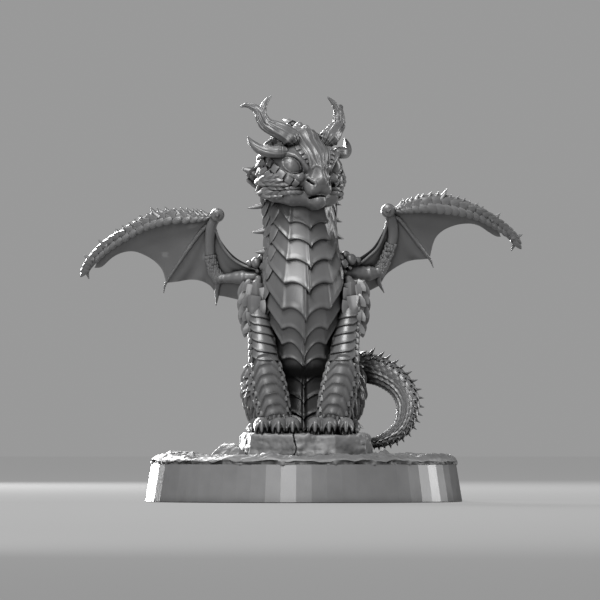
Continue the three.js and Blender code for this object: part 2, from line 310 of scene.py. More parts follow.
def plate(clay, surface, edge, hidden, span, lip=0.4, tuck=0.3, columns=41, relief=None):
    """A plate from its raised edge(a) to its hidden(a) edge, under the plate before it."""
    a = np.linspace(*span, columns)
    grid_a, t = np.meshgrid(a, PLATE_STEPS, indexing="ij")
    u = edge(grid_a) + (hidden(grid_a) - edge(grid_a)) * t
    point, normal = surface(u, grid_a)
    bead = np.interp(t, [0, 0.02, 0.05, 0.1, 0.17, 1], [-0.3, 0.05, 0.22, 0.18, 0.0, 0.0])
    rise = lip * ((1 - t) ** 1.2 + bead)
    if relief is not None:
        rise = rise + relief(grid_a, t)
    top = point + normal * rise[..., None]
    bottom = point - normal * tuck
    facing = np.cross(top[1, 5] - top[0, 5], top[0, 6] - top[0, 5]) @ normal[0, 5]
    if facing < 0:
        top, bottom = top[::-1], bottom[::-1]
    clay.shell(top, bottom)


# ---------------------------------------------------------------- distance fields, for blended forms
def join(a, b, k=0.5):
    h = np.clip(0.5 + 0.5 * (b - a) / k, 0, 1)
    return b + (a - b) * h - k * h * (1 - h)


def carve(a, b, k=0.3):
    """a with b taken out of it."""
    return -join(-a, b, k)


def ball(p, centre, radii):
    q = p - np.asarray(centre, float)
    r = np.broadcast_to(np.asarray(radii, float), 3)
    near = np.linalg.norm(q / r, axis=-1)
    slope = np.linalg.norm(q / r**2, axis=-1)
    return near * (near - 1) / np.maximum(slope, 1e-6)


def rod(p, a, b, ra, rb):
    a, b = np.asarray(a, float), np.asarray(b, float)
    t = np.clip((p - a) @ (b - a) / ((b - a) @ (b - a)), 0, 1)
    return np.linalg.norm(p - a - t[..., None] * (b - a), axis=-1) - (ra + (rb - ra) * t)


def chain(p, points, radii, k=0.2):
    total = None
    for i in range(len(points) - 1):
        part = rod(p, points[i], points[i + 1], radii[i], radii[i + 1])
        total = part if total is None else join(total, part, k)
    return total


def slope_of(distance, p, e=0.02):
    return np.stack([distance(p + e * axis) - distance(p - e * axis) for axis in np.eye(3)], -1) / (2 * e)


def settle(distance, p, rounds=3):
    """Moves points onto the surface where the distance is 0."""
    for _ in range(rounds):
        g = slope_of(distance, p)
        step = distance(p)[..., None] * g / np.maximum((g * g).sum(-1, keepdims=True), 0.05)
        p = p - np.clip(step, -0.5, 0.5)
    return p


def sculpt(distance, low, high, step):
    """The surface where the distance is 0, as vertices and outward quads."""
    axes = [np.arange(lo, hi + step, step) for lo, hi in zip(low, high)]
    shape = tuple(len(axis) for axis in axes)
    field = np.empty(shape)
    for i, x in enumerate(axes[0]):
        y, z = np.meshgrid(axes[1], axes[2], indexing="ij")
        field[i] = distance(np.stack([np.full(y.shape, x), y, z], -1).reshape(-1, 3)).reshape(y.shape)
    inside = field < 0
    cells = tuple(n - 1 for n in shape)
    total = np.zeros(cells + (3,))
    count = np.zeros(cells)
    quads = []
    where = np.indices(shape).transpose(1, 2, 3, 0)
    for axis in range(3):
        others = [(axis + 1) % 3, (axis + 2) % 3]
        head = [slice(None)] * 3
        tail = [slice(None)] * 3
        head[axis], tail[axis] = slice(1, None), slice(None, -1)
        a, b = field[tuple(tail)], field[tuple(head)]
        cross = (a < 0) != (b < 0)
        with np.errstate(divide="ignore", invalid="ignore"):
            t = np.where(cross, a / (a - b), 0)
        place = where[tuple(tail)] + t[..., None] * np.eye(3)[axis]
        for da in (0, 1):
            for db in (0, 1):
                cut = [slice(None)] * 3
                for other, shift in zip(others, (da, db)):
                    cut[other] = slice(shift, shape[other] - 1 + shift)
                cut = tuple(cut)
                hit = cross[cut]
                total += np.where(hit[..., None], place[cut], 0)
                count += hit
    active = count > 0
    index = np.full(cells, -1)
    index[active] = np.arange(active.sum())
    verts = total[active] / count[active][:, None] * step + np.asarray(low, float)
    for axis in range(3):
        one, two = (axis + 1) % 3, (axis + 2) % 3
        head = [slice(None)] * 3
        tail = [slice(None)] * 3
        head[axis], tail[axis] = slice(1, None), slice(None, -1)
        a, b = inside[tuple(tail)], inside[tuple(head)]
        edges = np.argwhere(a != b)
        edges = edges[(edges[:, one] > 0) & (edges[:, two] > 0)]
        edges = edges[(edges[:, one] < cells[one]) & (edges[:, two] < cells[two])]
        outward = a[tuple(edges.T)]
        ring = []
        for shift_one, shift_two in ((-1, -1), (0, -1), (0, 0), (-1, 0)):
            cell = edges.copy()
            cell[:, one] += shift_one
            cell[:, two] += shift_two
            ring.append(index[tuple(cell.T)])
        ring = np.stack(ring, -1)
        quads += [ring[outward], ring[~outward][:, ::-1]]
    return settle(distance, verts, 2), quads


# ---------------------------------------------------------------- materials
class Finish:
    """A new material, with short ways to add nodes to it."""

    def __init__(self, name):
        self.material = bpy.data.materials.new(name)
        self.material.use_nodes = True
        self.tree = self.material.node_tree
        self.shader = self.tree.nodes["Principled BSDF"]

    def node(self, kind, links, **values):
        """A node whose inputs are linked to other outputs, or hold plain values."""
        made = self.tree.nodes.new("ShaderNode" + kind)
        for name, value in values.items():
            made.inputs[name].default_value = value
        for name, output in links.items():
            self.tree.links.new(output, made.inputs[name])
        return made

    def ramp(self, source, *stops):
        """A colour ramp over the source, through (position, red, green, blue) stops."""
        made = self.tree.nodes.new("ShaderNodeValToRGB")
        elements = made.color_ramp.elements
        for _ in stops[2:]:
            elements.new(0.5)
        for element, (position, *colour) in zip(elements, stops):
            element.position = position
            element.color = (*colour, 1)
        self.tree.links.new(source, made.inputs["Fac"])
        return made.outputs["Color"]

    def noise(self, scale, detail=2.0):
        place = self.tree.nodes.new("ShaderNodeTexCoord").outputs["Object"]
        return self.node("TexNoise", {"Vector": place}, Scale=scale, Detail=detail).outputs["Fac"]

    def between(self, source, low, high):
        """The source's 0 to 1, spread from low to high."""
        return self.node("MapRange", {"Value": source}, **{"To Min": low, "To Max": high}).outputs["Result"]

    def times(self, first, second):
        """The product of two colours."""
        product = self.tree.nodes.new("ShaderNodeMix")
        product.data_type = "RGBA"
        product.blend_type = "MULTIPLY"
        product.inputs["Factor"].default_value = 1
        self.tree.links.new(first, product.inputs["A"])
        self.tree.links.new(second, product.inputs["B"])
        return product.outputs["Result"]

    def hollows(self, reach, closed, opened, darkest):
        """Painted shade: white in the open, dark where the surface is shut in within `reach` metres."""
        hollow = self.node("AmbientOcclusion", {}, Distance=reach)
        hollow.samples = 8
        return self.ramp(hollow.outputs["AO"], (closed, *[darkest] * 3), (opened, 1, 1, 1))

    def finish(self, **sources):
        for name, output in sources.items():
            self.tree.links.new(output, self.shader.inputs[name])
        return self.material


def resin_material(name, shade, roughness, grain, bump, speckle=0.0, grit=0.00004):
    """Satin grey casting resin: faint mottling, painted shade in hollows and creases, painted highlights on
    raised edges and a fine grain.
    """
    resin = Finish(name)
    resin.shader.inputs["Specular IOR Level"].default_value = 0.62
    mottle = resin.noise(260, 5)
    dark, light = shade * (0.9 - speckle), shade * (1.08 + speckle)
    tone = resin.ramp(mottle, (0.3, dark, dark, dark * 1.01), (0.75, light, light, light * 1.01))
    pointiness = resin.node("NewGeometry", {}).outputs["Pointiness"]
    # painted shade and painted highlight: the colour falls to half where the surface folds in and rises up to
    # 1.45 times on sharp ridges
    edges = resin.ramp(pointiness, (0.40, 0.5, 0.5, 0.5), (0.5, 1, 1, 1), (0.60, 1.45, 1.45, 1.45))
    # painted shade: ambient-occlusion masks darken the colour in fine crevices and in deeper recesses
    painted_crevice_shade = resin.hollows(0.0022, 0.15, 0.85, 0.06)
    painted_recess_shade = resin.hollows(0.011, 0.2, 0.62, 0.12)
    # the colour is the mottled tone times the painted edge highlight and crease shade, and both painted
    # hollow shades
    colour = resin.times(resin.times(resin.times(tone, edges), painted_crevice_shade), painted_recess_shade)
    relief = resin.node("Bump", {"Height": resin.noise(grain, 3)}, Strength=bump, Distance=grit)
    rub = resin.between(mottle, roughness - 0.05, roughness + 0.07)
    return resin.finish(**{"Base Color": colour, "Roughness": rub, "Normal": relief.outputs["Normal"]})


def brass_material():
    """Drawn brass rod: warm metal with fine streaks."""
    brass = Finish("brass")
    brass.shader.inputs["Metallic"].default_value = 1
    streaks = brass.noise(900)
    tone = brass.ramp(streaks, (0, 0.5, 0.34, 0.12), (1, 0.72, 0.53, 0.24))
    return brass.finish(**{"Base Color": tone, "Roughness": brass.between(streaks, 0.22, 0.38)})


MATERIALS = {
    "resin": resin_material("resin", 0.11, 0.33, 5200, 0.25),
    "stone": resin_material("stone", 0.12, 0.5, 1500, 0.6, speckle=0.06, grit=0.00008),
    "plinth": resin_material("plinth", 0.13, 0.30, 6400, 0.12),
    "brass": brass_material(),
}


# ---------------------------------------------------------------- base, ground and rocks
def build_base():
    """The tapered rim: 64 flat facets, with its edges just broken."""
    sides, soft = 64, 0.12
    taper = (BASE_RADIUS - RIM_RADIUS) / BASE_TOP
    profile = [
        (BASE_RADIUS - 4, 0.3), (BASE_RADIUS - 3.6, 0), (BASE_RADIUS - soft, 0), (BASE_RADIUS - 0.02, soft),
        (RIM_RADIUS + soft * taper, BASE_TOP - soft), (RIM_RADIUS - soft, BASE_TOP),
        (RIM_RADIUS - 2, BASE_TOP),
    ]
    a = (np.arange(sides) + 0.5) / sides * tau
    rings = [np.stack([r * np.cos(a), r * np.sin(a), np.full(sides, z)], -1) for r, z in profile]
    clay = Clay()
    clay.tube(np.array(rings))
    make("base_body", clay, "plinth", ["base_rim"], flat=True)


def stone_face(p, scale=2.4):
    """How far broken stone stands out: big chips, small chips and grit."""
    chips = np.abs(noise(p, scale / 3.1)) * np.clip(0.3 + 1.5 * noise(p, scale * 1.4), 0, 1)
    return 0.22 * noise(p, scale) + 0.1 * noise(p, scale / 2.3) - 0.3 * chips + 0.05 * noise(p, scale / 6)


def build_ground():
    """The stone disc: a chipped edge, and a top of low slabs parted by cracks."""
    sides, rows = 560, 130
    a = np.arange(sides) / sides * tau
    edge = RIM_RADIUS + 0.1
    share = np.linspace(0, 1, rows) ** 0.6
    grid_s, grid_a = np.meshgrid(share, a, indexing="ij")
    r = edge * grid_s
    x, y = r * np.cos(grid_a), r * np.sin(grid_a)
    flat = np.stack([x, y, np.zeros_like(x)], -1)
    step = np.floor((noise(flat, 5.2) + 1) * 2.2) / 4.4
    mound = 0.9 * np.exp(-((x + 17.5) ** 2 + (y + 4) ** 2) / 22)
    mound = mound + 0.5 * np.exp(-((x - 20) ** 2 + (y + 2) ** 2) / 30)
    height = GROUND_TOP - 0.5 + 0.7 * step + mound * 0.7 + 0.22 * noise(flat, 1.9) + 0.14 * noise(flat, 0.6)
    lip = np.clip((1 - grid_s) / 0.05, 0, 1) ** 0.5
    height = (BASE_TOP + 0.5) + (height - BASE_TOP - 0.5) * lip + 0.25 * (1 - lip) * noise(flat, 1.3)
    top = np.stack([x, y, height], -1)
    rings = [top]
    for depth in (0.3, 0.55, 0.8, 1.05):
        low = np.stack([edge * np.cos(a), edge * np.sin(a), np.full(sides, BASE_TOP + 0.75 - depth)], -1)
        push = 0.4 * noise(low, 1.7) + 0.25 * noise(low, 0.55) - 0.25 - 0.25 * (depth > 1)
        low[:, :2] *= (1 + push / edge)[:, None]
        low[:, 2] = np.minimum(low[:, 2], height[-1] - 0.05 - depth * 0.05)
        rings.append(low[None])
    clay = Clay()
    clay.tube(np.concatenate(rings)[::-1])
    make("ground_stone", clay, "stone", ["ground"], sharp=35)


def slab_field(outline, low, high, lean=0.12):
    """A distance field for a slab of layered rock with this plan outline."""
    outline = np.asarray(outline, float)
    after = np.roll(outline, -1, axis=0)
    way = unit(after - outline)
    out = np.stack([way[:, 1], -way[:, 0]], -1)

    def distance(p):
        sides = np.stack([(p[:, :2] - o) @ n for o, n in zip(outline, out)], -1)
        bedding = (p[:, 2] - low + 0.5 * noise(p, 5)) / 1.3
        layer = 0.3 * np.abs(bedding % 1 - 0.5) * np.clip(0.4 + 1.6 * noise(p, 6), 0, 1)
        wall = sides.max(-1) + lean * (p[:, 2] - low) + layer
        deck = p[:, 2] - high + 0.25 * noise(p * [1, 1, 0], 3)
        floor = low - p[:, 2]
        body = -join(-wall, -deck, 0.5)
        return np.maximum(body + stone_face(p), floor)

    return distance


def build_rocks():
    """The two slabs under the dragon, parted by the crack, and a low ledge on each side."""
    crack = (corners("rock_slab_right")[1][0] + corners("rock_slab_left")[0][0]) / 2
    low = GROUND_TOP - 0.6
    past = 1.5  # how far the slabs' outlines run beyond the crack, before it cuts them
    # each rock's outline, top, lean of its walls, and the side of the crack it lies on, if any
    rocks = {
        "rock_slab_right": ([(-8.6, -8.6), (crack, -10.6), (crack + past, -10.6), (crack + past, 13),
                             (-6.5, 13.6), (-10.4, 9), (-10, 0)], ROCK_TOP + 0.35, 0.12, 1),
        "rock_slab_left": ([(crack - past, -10.4), (5, -11), (9.9, -9), (11.2, -2), (10.6, 9.5), (6, 13.8),
                            (crack - past, 13)], ROCK_TOP + 0.35, 0.2, -1),
        "ledge_right": ([(-15, -6), (-10.2, -10.2), (-8.6, -9), (-8.8, -0.5), (-13.6, 1.7)],
                        LEDGE_TOP + 0.5, 0.9, 0),
        "ledge_left": ([(10.6, -6), (13.2, -5.4), (14.6, -1), (14.2, 6.5), (11, 7.4)],
                       LEDGE_TOP + 0.4, 1.2, 0),
    }
    for node, (outline, top, lean, beside) in rocks.items():
        rock = slab_field(outline, low, top, lean)

        def field(p, rock=rock, beside=beside):
            """The slab, cut off just short of the crack if it lies beside it."""
            if not beside:
                return rock(p)
            wander = crack + 0.3 * noise(p * [0, 0, 1], 1.7) + 0.12 * noise(p, 1.1)
            return np.maximum(rock(p), beside * (p[:, 0] - wander) + 0.07)

        lo, hi = np.min(outline, 0) - 1, np.max(outline, 0) + 1
        clay = Clay()
        clay.add(*sculpt(field, (*lo, low - 0.3), (*hi, top + 1.2), 0.22))
        make(node + "_stone", clay, "stone", [node], sharp=38)


# ---------------------------------------------------------------- torso: neck, chest and belly plates
TORSO = Limb([
    (0, 5.2, SOLE - 0.2, 5.0, 5.0),
    (0, 5.2, 14, 5.8, 5.5),
    (0, 4.4, 18, 5.4, 5.2),
    (0, 1.9, 24, 5.2, 5.1),
    (0, 0, 29, 5.7, 5.5),
    (0, -0.5, 33, 5.95, 5.6),
    (-0.1, -0.2, 37, 5.6, 5.1),
    (-0.25, 0.2, 41, 5.1, 4.6),
    (-0.45, 0.3, 45, 4.7, 4.2),
    (-0.6, 0.2, 50.5, 4.3, 3.8),
], level=True)
TORSO_U = np.linspace(0, 1, TORSO.n)


def torso_at(z, a):
    """A point on the torso at height z; under the chest the abdomen is set well back."""
    point, normal = TORSO.surface(np.interp(z, TORSO.path[:, 2], TORSO_U), a)
    recess = np.interp(z, [10, 14, 19.6, 21.4], [1.6, 3.4, 3.6, 0]) * np.clip(np.cos(a), 0, 1)
    return point + recess[..., None] * -FRONT, normal


def neck_twist(z):
    """The neck turns towards the dragon's left as it rises, following the head."""
    return np.interp(z, [24, 30, 36, 42], [0, radians(3), radians(9), radians(15)])


# height of each plate's centre tip, of its two corners, and of its ends at the flank
BELLY = [
    (49.0, 50.0, 52.5), (46.0, 47.0, 49.8), (42.7, 43.8, 46.4), (39.9, 41.1, 43.2), (36.5, 37.9, 40.1),
    (32.6, 34.2, 36.6), (28.1, 30.1, 33.1), (24.6, 27.0, 30.1), (21.9, 24.6, 28.0), (20.7, 22.3, 24.6),
    (17.7, 19.4, 21.6), (15.2, 16.6, 18.4), (12.8, 13.9, 15.3), (11.0, 11.9, 12.8),
]
CORNER = radians(35)
FLANK = radians(62)
REACH = radians(78)


# side, heights, lengths, and how far they stand out
NAPE_SPIKES = [(RIGHT, [47.3, 43.1, 39.6], [4.0, 3.1, 2.2], 1.1),
               (LEFT, [48.2, 45.4, 42.6, 39.8], [2.9, 2.7, 2.5, 2.2], 0.8)]


def belly_edge(tip, corner, end):
    """A plate's lower edge: a cusp at the keel, a scallop to each corner's cusp, a slope up the flank."""
    def edge(a):
        s = np.abs(a - neck_twist(corner)) / CORNER
        inner = np.clip(s, 0, 1)
        outer = np.clip((s - 1) * CORNER / (FLANK - CORNER), 0, None)
        scallop = np.sqrt(1 - (1 - inner) ** 2) + 0.2 * np.sin(pi * inner**1.3)
        return tip + (corner - tip) * scallop + (end - corner) * (1.12 * outer - 0.12 * outer**2)
    return edge


def belly_relief(corner, keel):
    """Each half plate is dished between its keel and its corner, and steps down along the flank."""
    twist = neck_twist(corner)

    def relief(a, t):
        s = np.abs(a - twist) / CORNER
        height = keel * np.exp(-((s / 0.07) ** 2)) * (1 - 0.5 * t)
        height += 0.2 * np.exp(-(((s - 1) / 0.1) ** 2)) * (1 - t) ** 1.5
        height -= 0.22 * np.sin(pi * np.clip(s, 0, 1)) * (1 - 0.5 * t)
        return height - 0.16 * np.clip((s - 1) / 0.5, 0, 1)
    return relief


def build_torso():
    core, belly, hide = Clay(), Clay(), Clay()
    height, angle = np.meshgrid(np.linspace(SOLE, 50.4, 130), np.arange(72) / 72 * tau, indexing="ij")
    point, normal = torso_at(height, angle)
    core.tube(point - normal * 0.25)
    for above, below in zip(BELLY[:-1], BELLY[1:]):
        twist = neck_twist(below[1])
        keel = np.interp(below[0], [20, 34, 38, 40], [0.5, 0.4, 0.2, 0.06])
        plate(belly, torso_at, belly_edge(*below), lambda a, f=belly_edge(*above): f(a) + 0.9,
              (twist - REACH, twist + REACH), lip=0.6, tuck=0.6, columns=121,
              relief=belly_relief(below[1], keel))
    rng = np.random.default_rng(3)
    rows = np.arange(51.0, 12, -1.5)
    for row, z in enumerate(rows):
        a = np.linspace(REACH - 0.02, tau - REACH + 0.02, 13)
        if row % 2:
            a = (a[:-1] + a[1:]) / 2
        beside_belly = np.exp(-(np.minimum(a - REACH, tau - REACH - a) / 0.5))
        height = z + 1.3 * beside_belly + rng.normal(0, 0.06, len(a))
        point, normal = torso_at(height, a + neck_twist(z))
        down = unit(torso_at(height - 1.0, a + neck_twist(z))[0] - point)
        flare = 0.2 + 0.22 * np.abs(np.sin(a)) ** 3
        leaves(hide, point - normal * 0.35, down, normal, 3.0 + rng.normal(0, 0.1, len(a)), 2.3, 0.7,
               lift=flare + rng.normal(0, 0.03, len(a)), template=LEAF)
    for side, z, long, lift in NAPE_SPIKES:  # rows of longer spikes down each side of the nape
        z = np.array(z)
        point, normal = torso_at(z, side * radians(98) + neck_twist(z))
        leaves(hide, point, -UP, normal, long, 1.5, 1.4, lift, THORN)
    for side in (RIGHT, LEFT):  # the outermost column of scales flares like a mane towards the head
        z = np.arange(51.0, 37, -1.75)
        point, normal = torso_at(z, side * radians(96) + neck_twist(z))
        out = np.interp(z, [39, 46, 50], [0, 0.5, 1.1])[:, None]
        leaves(hide, point + normal * (out - 0.3), -UP, normal, 3.1, 2.4, 0.9, 0.36, LEAF)
    z = np.arange(50, 15, -2.6)  # the crest down the spine
    point, normal = torso_at(z, pi + neck_twist(z))
    long = np.interp(z, [14, 51], [2.6, 3.2])
    leaves(hide, point - normal * 0.4, -UP, normal, long, 1.9, 1.5, 1.0, THORN)
    make("torso_core", core, "resin", ["torso"])
    make("belly_plates", belly, "resin", sharp=55)
    make("torso_scales", hide, "resin", sharp=50)


# ---------------------------------------------------------------- head
HEAD_CENTRE = np.array([-0.6, -1.0])
HEAD_YAW = radians(30)
EYE_YAW = radians(26)
EYE_SLANT = radians(34)
EYE = np.array([4.05, 4.45, 52.85])  # (sideways, forward, height)
EYE_HALF_LENGTH = 1.75
EYE_HALF_HEIGHT = 0.98
EYEBALL = 2.0


def from_head(q):
    """Head coordinates (sideways to its left, forward, height) to the row frame."""
    q = np.asarray(q, float)
    c, s = cos(HEAD_YAW), sin(HEAD_YAW)
    x = HEAD_CENTRE[0] + c * q[..., 0] + s * q[..., 1]
    y = HEAD_CENTRE[1] + s * q[..., 0] - c * q[..., 1]
    return np.stack([x, y, q[..., 2]], -1)


def to_head(p):
    dx, dy = p[..., 0] - HEAD_CENTRE[0], p[..., 1] - HEAD_CENTRE[1]
    c, s = cos(HEAD_YAW), sin(HEAD_YAW)
    return np.stack([c * dx + s * dy, s * dx - c * dy, p[..., 2]], -1)


def turn_head(v):
    """A direction in head coordinates, in the row frame."""
    return from_head(v) - from_head(np.zeros(3))


def turn_to_head(v):
    """A direction in the row frame, in head coordinates."""
    return to_head(np.asarray(v, float)) - to_head(np.zeros(3))


def eye_axes():
    """The eye's long axis (out and up), short axis and outward normal, for the side at +1."""
    normal = unit(np.array([sin(EYE_YAW), cos(EYE_YAW), 0.1]))
    level = np.array([cos(EYE_YAW), -sin(EYE_YAW), 0])
    rise = np.cross(level, normal)
    rise = rise if rise[2] > 0 else -rise
    long = level * cos(EYE_SLANT) + rise * sin(EYE_SLANT)
    short = -level * sin(EYE_SLANT) + rise * cos(EYE_SLANT)
    return long, short, normal


EYE_LONG, EYE_SHORT, EYE_OUT = eye_axes()


def in_eye(m):
    d = m - EYE
    return np.stack([d @ EYE_LONG, d @ EYE_SHORT, d @ EYE_OUT], -1)


def almond(eye):
    """Distance to the eye's almond outline in its own plane: two arcs that meet in the corners."""
    radius = (EYE_HALF_LENGTH**2 + EYE_HALF_HEIGHT**2) / (2 * EYE_HALF_HEIGHT)
    offset = radius - EYE_HALF_HEIGHT
    lower, upper = (np.hypot(eye[..., 0], eye[..., 1] + shift) for shift in (offset, -offset))
    return np.maximum(lower, upper) - radius


def line_distance(u, v, points):
    """Distance in a plane from (u, v) to a polyline."""
    q = np.stack([u, v], -1)
    nearest = np.full(u.shape, 1e3)
    for a, b in zip(np.array(points[:-1], float), np.array(points[1:], float)):
        t = np.clip((q - a) @ (b - a) / ((b - a) @ (b - a)), 0, 1)
        nearest = np.minimum(nearest, np.linalg.norm(q - a - t[..., None] * (b - a), axis=-1))
    return nearest


def ridge(u, v, points, width):
    """A rounded ridge of height 1 along a polyline."""
    return np.exp(-((line_distance(u, v, points) / width) ** 2))


def boulder(p, centre, radii, power):
    """A ball with squarer shoulders as the power grows past 2."""
    q = np.abs(p - np.asarray(centre, float))
    n = ((q / np.asarray(radii, float)) ** power).sum(-1) ** (1 / power)
    return np.linalg.norm(q, axis=-1) * (n - 1) / np.maximum(n, 1e-3)


# ridges and creases on the front of the face: height, line of (sideways, height) points, half width
FACE_CREASES = [
    (0.42, [(6.2, 55.3), (5.0, 55.0), (4.0, 54.5), (3.1, 53.6), (2.3, 52.4)], 0.5),
    (0.16, [(0.55, 58.6), (0.5, 56), (0.28, 53.4), (0.1, 52.2)], 0.16),
    (0.14, [(1.7, 58.2), (1.5, 56), (1.1, 54.0), (0.6, 52.8)], 0.18),
    (0.12, [(0.3, 52.6), (0.9, 52.9), (1.3, 52.4)], 0.14),
    (-0.5, [(4.2, 53.75), (3.3, 53.1), (2.55, 52.1), (2.2, 51.6)], 0.26),
    (-0.2, [(2.6, 56.6), (2.2, 55.2), (1.9, 54.0), (1.75, 52.8)], 0.16),
    (-0.55, [(1.35, 49.85), (1.6, 50.1), (1.9, 50.5)], 0.13),
    (0.12, [(1.1, 49.7), (1.3, 50.4), (1.8, 50.9)], 0.16),
]


def head_field(p):
    """Distance to the head without its horns and scales."""
    q = to_head(p)
    m = np.stack([np.abs(q[..., 0]), q[..., 1], q[..., 2]], -1)
    side, forward, z = m[..., 0], m[..., 1], m[..., 2]
    ahead = np.clip((forward - 1) / 2, 0, 1)
    skull = ball(m, (0, -0.6, 54.0), (5.2, 5.0, 5.1))
    skull = join(skull, rod(m, (0, -2.5, 57.9), (0, 1.8, 57.3), 1.4, 1.3), 1.3)
    skull = join(skull, boulder(m, (0, 0.2, 52.6), (5.9, 5.9, 4.4), 2.5), 0.9)
    skull = join(skull, ball(m, (3.6, 0.8, 50.8), (3.1, 3.7, 2.7)), 0.8)
    for f, z_top in ((-2.4, 59.2), (-0.3, 59.15), (1.8, 58.6)):  # blunt lumps along the crown
        skull = join(skull, ball(m, (0, f, z_top), (0.6, 0.75, 0.75)), 0.25)
    nostril = ball(m, (1.1, 5.7, 49.2), (1.15, 1.35, 1.15))
    muzzle = join(ball(m, (0, 4.7, 49.8), (2.4, 2.4, 1.7)), nostril, 0.4)
    bridge = chain(m, [(0, 4.6, 54.4), (0, 5.6, 52.2), (0, 6.2, 50.5)], [0.8, 0.75, 0.95], 0.3)
    body = join(skull, join(muzzle, bridge, 0.6), 0.6)
    body = join(body, ball(m, (3.0, 4.8, 50.95), (1.0, 1.1, 0.85)), 0.25)
    # the nose bridge, the brow and the creases beside them, as heights on the front of the face
    relief = 0.42 * np.exp(-((side / (0.75 + 0.1 * np.abs(z - 52))) ** 2)) * np.clip((z - 49.8) / 1, 0, 1) \
        * np.clip((57.5 - z) / 3, 0, 1)
    for height, points, width in FACE_CREASES:
        relief += height * ridge(side, z, points, width)
    body = body - relief * ahead
    # the eye: a socket, its ball and a rim
    eye = in_eye(m)
    outline = almond(eye)
    globe = np.linalg.norm(eye + [0, 0, EYEBALL - 0.55], axis=-1) - EYEBALL
    body = carve(body, np.maximum(outline - 0.25, -1.3 - eye[..., 2]), 0.12)
    body = np.minimum(body, np.maximum(globe, outline - 0.2))
    body = join(body, np.hypot(outline - 0.12, globe - 0.02) - 0.15, 0.06)
    # the lower jaw, with its pointed chin, and the mouth between
    jaw = chain(m, [(0.9, 4.2, 47.8), (3.2, 3.2, 48.2), (5.0, 0.8, 48.7)], [1.4, 1.6, 1.6], 0.5)
    chin = np.maximum(ball(m, (0, 4.6, 47.4), (1.6, 2.4, 1.7)), 0.85 * (45.8 + 0.75 * side - z))
    arch = 48.05 - 0.16 * side**2.2
    mouth = np.maximum(np.maximum(0.7 * np.abs(z - arch) - 0.1, 5.0 - forward), side - 1.55)
    body = carve(body, ball(m, (0, 6.6, 46.9), (1.55, 2.2, 1.3)), 0.2)
    body = join(body, join(jaw, chin, 0.25), 0.15)
    body = carve(body, mouth, 0.08)
    return body + 0.035 * noise(p, 0.8)


def on_head(places, rounds=4):
    """Row-frame points and normals where head-coordinate places meet the head's surface."""
    p = settle(head_field, from_head(places), rounds)
    return p, unit(slope_of(head_field, p, 0.12))


def face_point(x, z):
    """Where the head is first met, coming from straight ahead at this x and height."""
    p = np.stack([x, np.full(np.shape(x), -9.0), z], -1).astype(float)
    for _ in range(150):
        p[..., 1] += np.where(head_field(p) > 0.03, 0.08, 0)
    return p


def build_eyes():
    for side in (RIGHT, LEFT):
        globe = Clay()
        lat, lon = np.meshgrid(np.linspace(0.01, 1.3, 20), np.arange(48) / 48 * tau, indexing="ij")
        radius = EYEBALL + 0.02
        local = np.stack([np.sin(lat) * np.cos(lon), np.sin(lat) * np.sin(lon), np.cos(lat)], -1) * radius
        local[..., 2] -= EYEBALL - 0.55
        q = EYE + local[..., :1] * EYE_LONG + local[..., 1:2] * EYE_SHORT + local[..., 2:] * EYE_OUT
        rings = from_head(q * [side, 1, 1])
        globe.tube(rings if side == LEFT else rings[:, ::-1])
        make(f"eye_{SIDE_NAMES[side]}", globe, "resin")


def horn_relief(grooves, depth, collar=0.0):
    """Flowing grooves along a horn, fine rings near its root, and a collar."""
    def relief(u, a):
        wander = 0.35 * np.sin(u * 6 + 1)
        lines = np.abs(np.sin(grooves / 2 * a + wander)) ** 0.55
        fine = 0.25 * np.sin(grooves * 2 * a + 3 * np.sin(u * 9))
        rings = 0.35 * np.sin(u * 75) * np.clip(1 - u * 5, 0, 1)
        ring = collar * np.exp(-(((u - 0.09) / 0.03) ** 2))
        return depth * (lines - 1 + fine + rings) * np.clip((1 - u) * 1.7, 0, 1) + ring
    return relief


def build_horns():
    beam = [(3.0, 3.0, 56.6, 1.1), (3.6, 3.0, 57.3, 1.42), (4.6, 2.5, 58.1, 1.42), (5.6, 1.6, 58.7, 1.25),
            (6.6, 0.7, 59.4, 1.1), (7.0, 0.2, 60.3, 1.0), (7.2, -0.2, 61.1, 0.86), (7.6, -0.9, 61.9, 0.66),
            (8.3, -1.7, 62.35, 0.46), (8.8, -2.2, 62.35, 0.32), (9.2, -2.6, 62.15, 0.14)]
    tine = [(7.0, 0.2, 60.2, 0.8), (6.9, 0.1, 61.2, 0.66), (6.6, 0.0, 62.2, 0.54), (6.0, -0.1, 63.1, 0.38),
            (5.2, -0.2, 63.8, 0.14)]
    brow = [(5.0, 3.4, 55.0, 0.9), (5.8, 3.0, 55.0, 0.98), (7.05, 2.0, 55.05, 0.9), (8.0, 0.9, 55.5, 0.78),
            (8.6, -0.1, 56.35, 0.56), (8.85, -1.0, 57.3, 0.16)]
    for side in (RIGHT, LEFT):
        def path(stations, side=side):
            return [(*from_head([side * l, f, z]), r) for l, f, z, r in stations]

        clay = Clay()
        Limb(path(beam)).add_to(clay, rows=120, sides=84, relief=horn_relief(9, 0.17, 0.18), dome=0.9)
        Limb(path(tine)).add_to(clay, rows=60, sides=48, relief=horn_relief(7, 0.08), dome=0.9)
        make(f"horn_{SIDE_NAMES[side]}_sculpt", clay, "resin", [f"horn_{SIDE_NAMES[side]}"])
        clay = Clay()
        Limb(path(brow)).add_to(clay, rows=90, sides=60, relief=horn_relief(8, 0.09), dome=0.9)
        make(f"brow_horn_{SIDE_NAMES[side]}_sculpt", clay, "resin", [f"brow_horn_{SIDE_NAMES[side]}"])


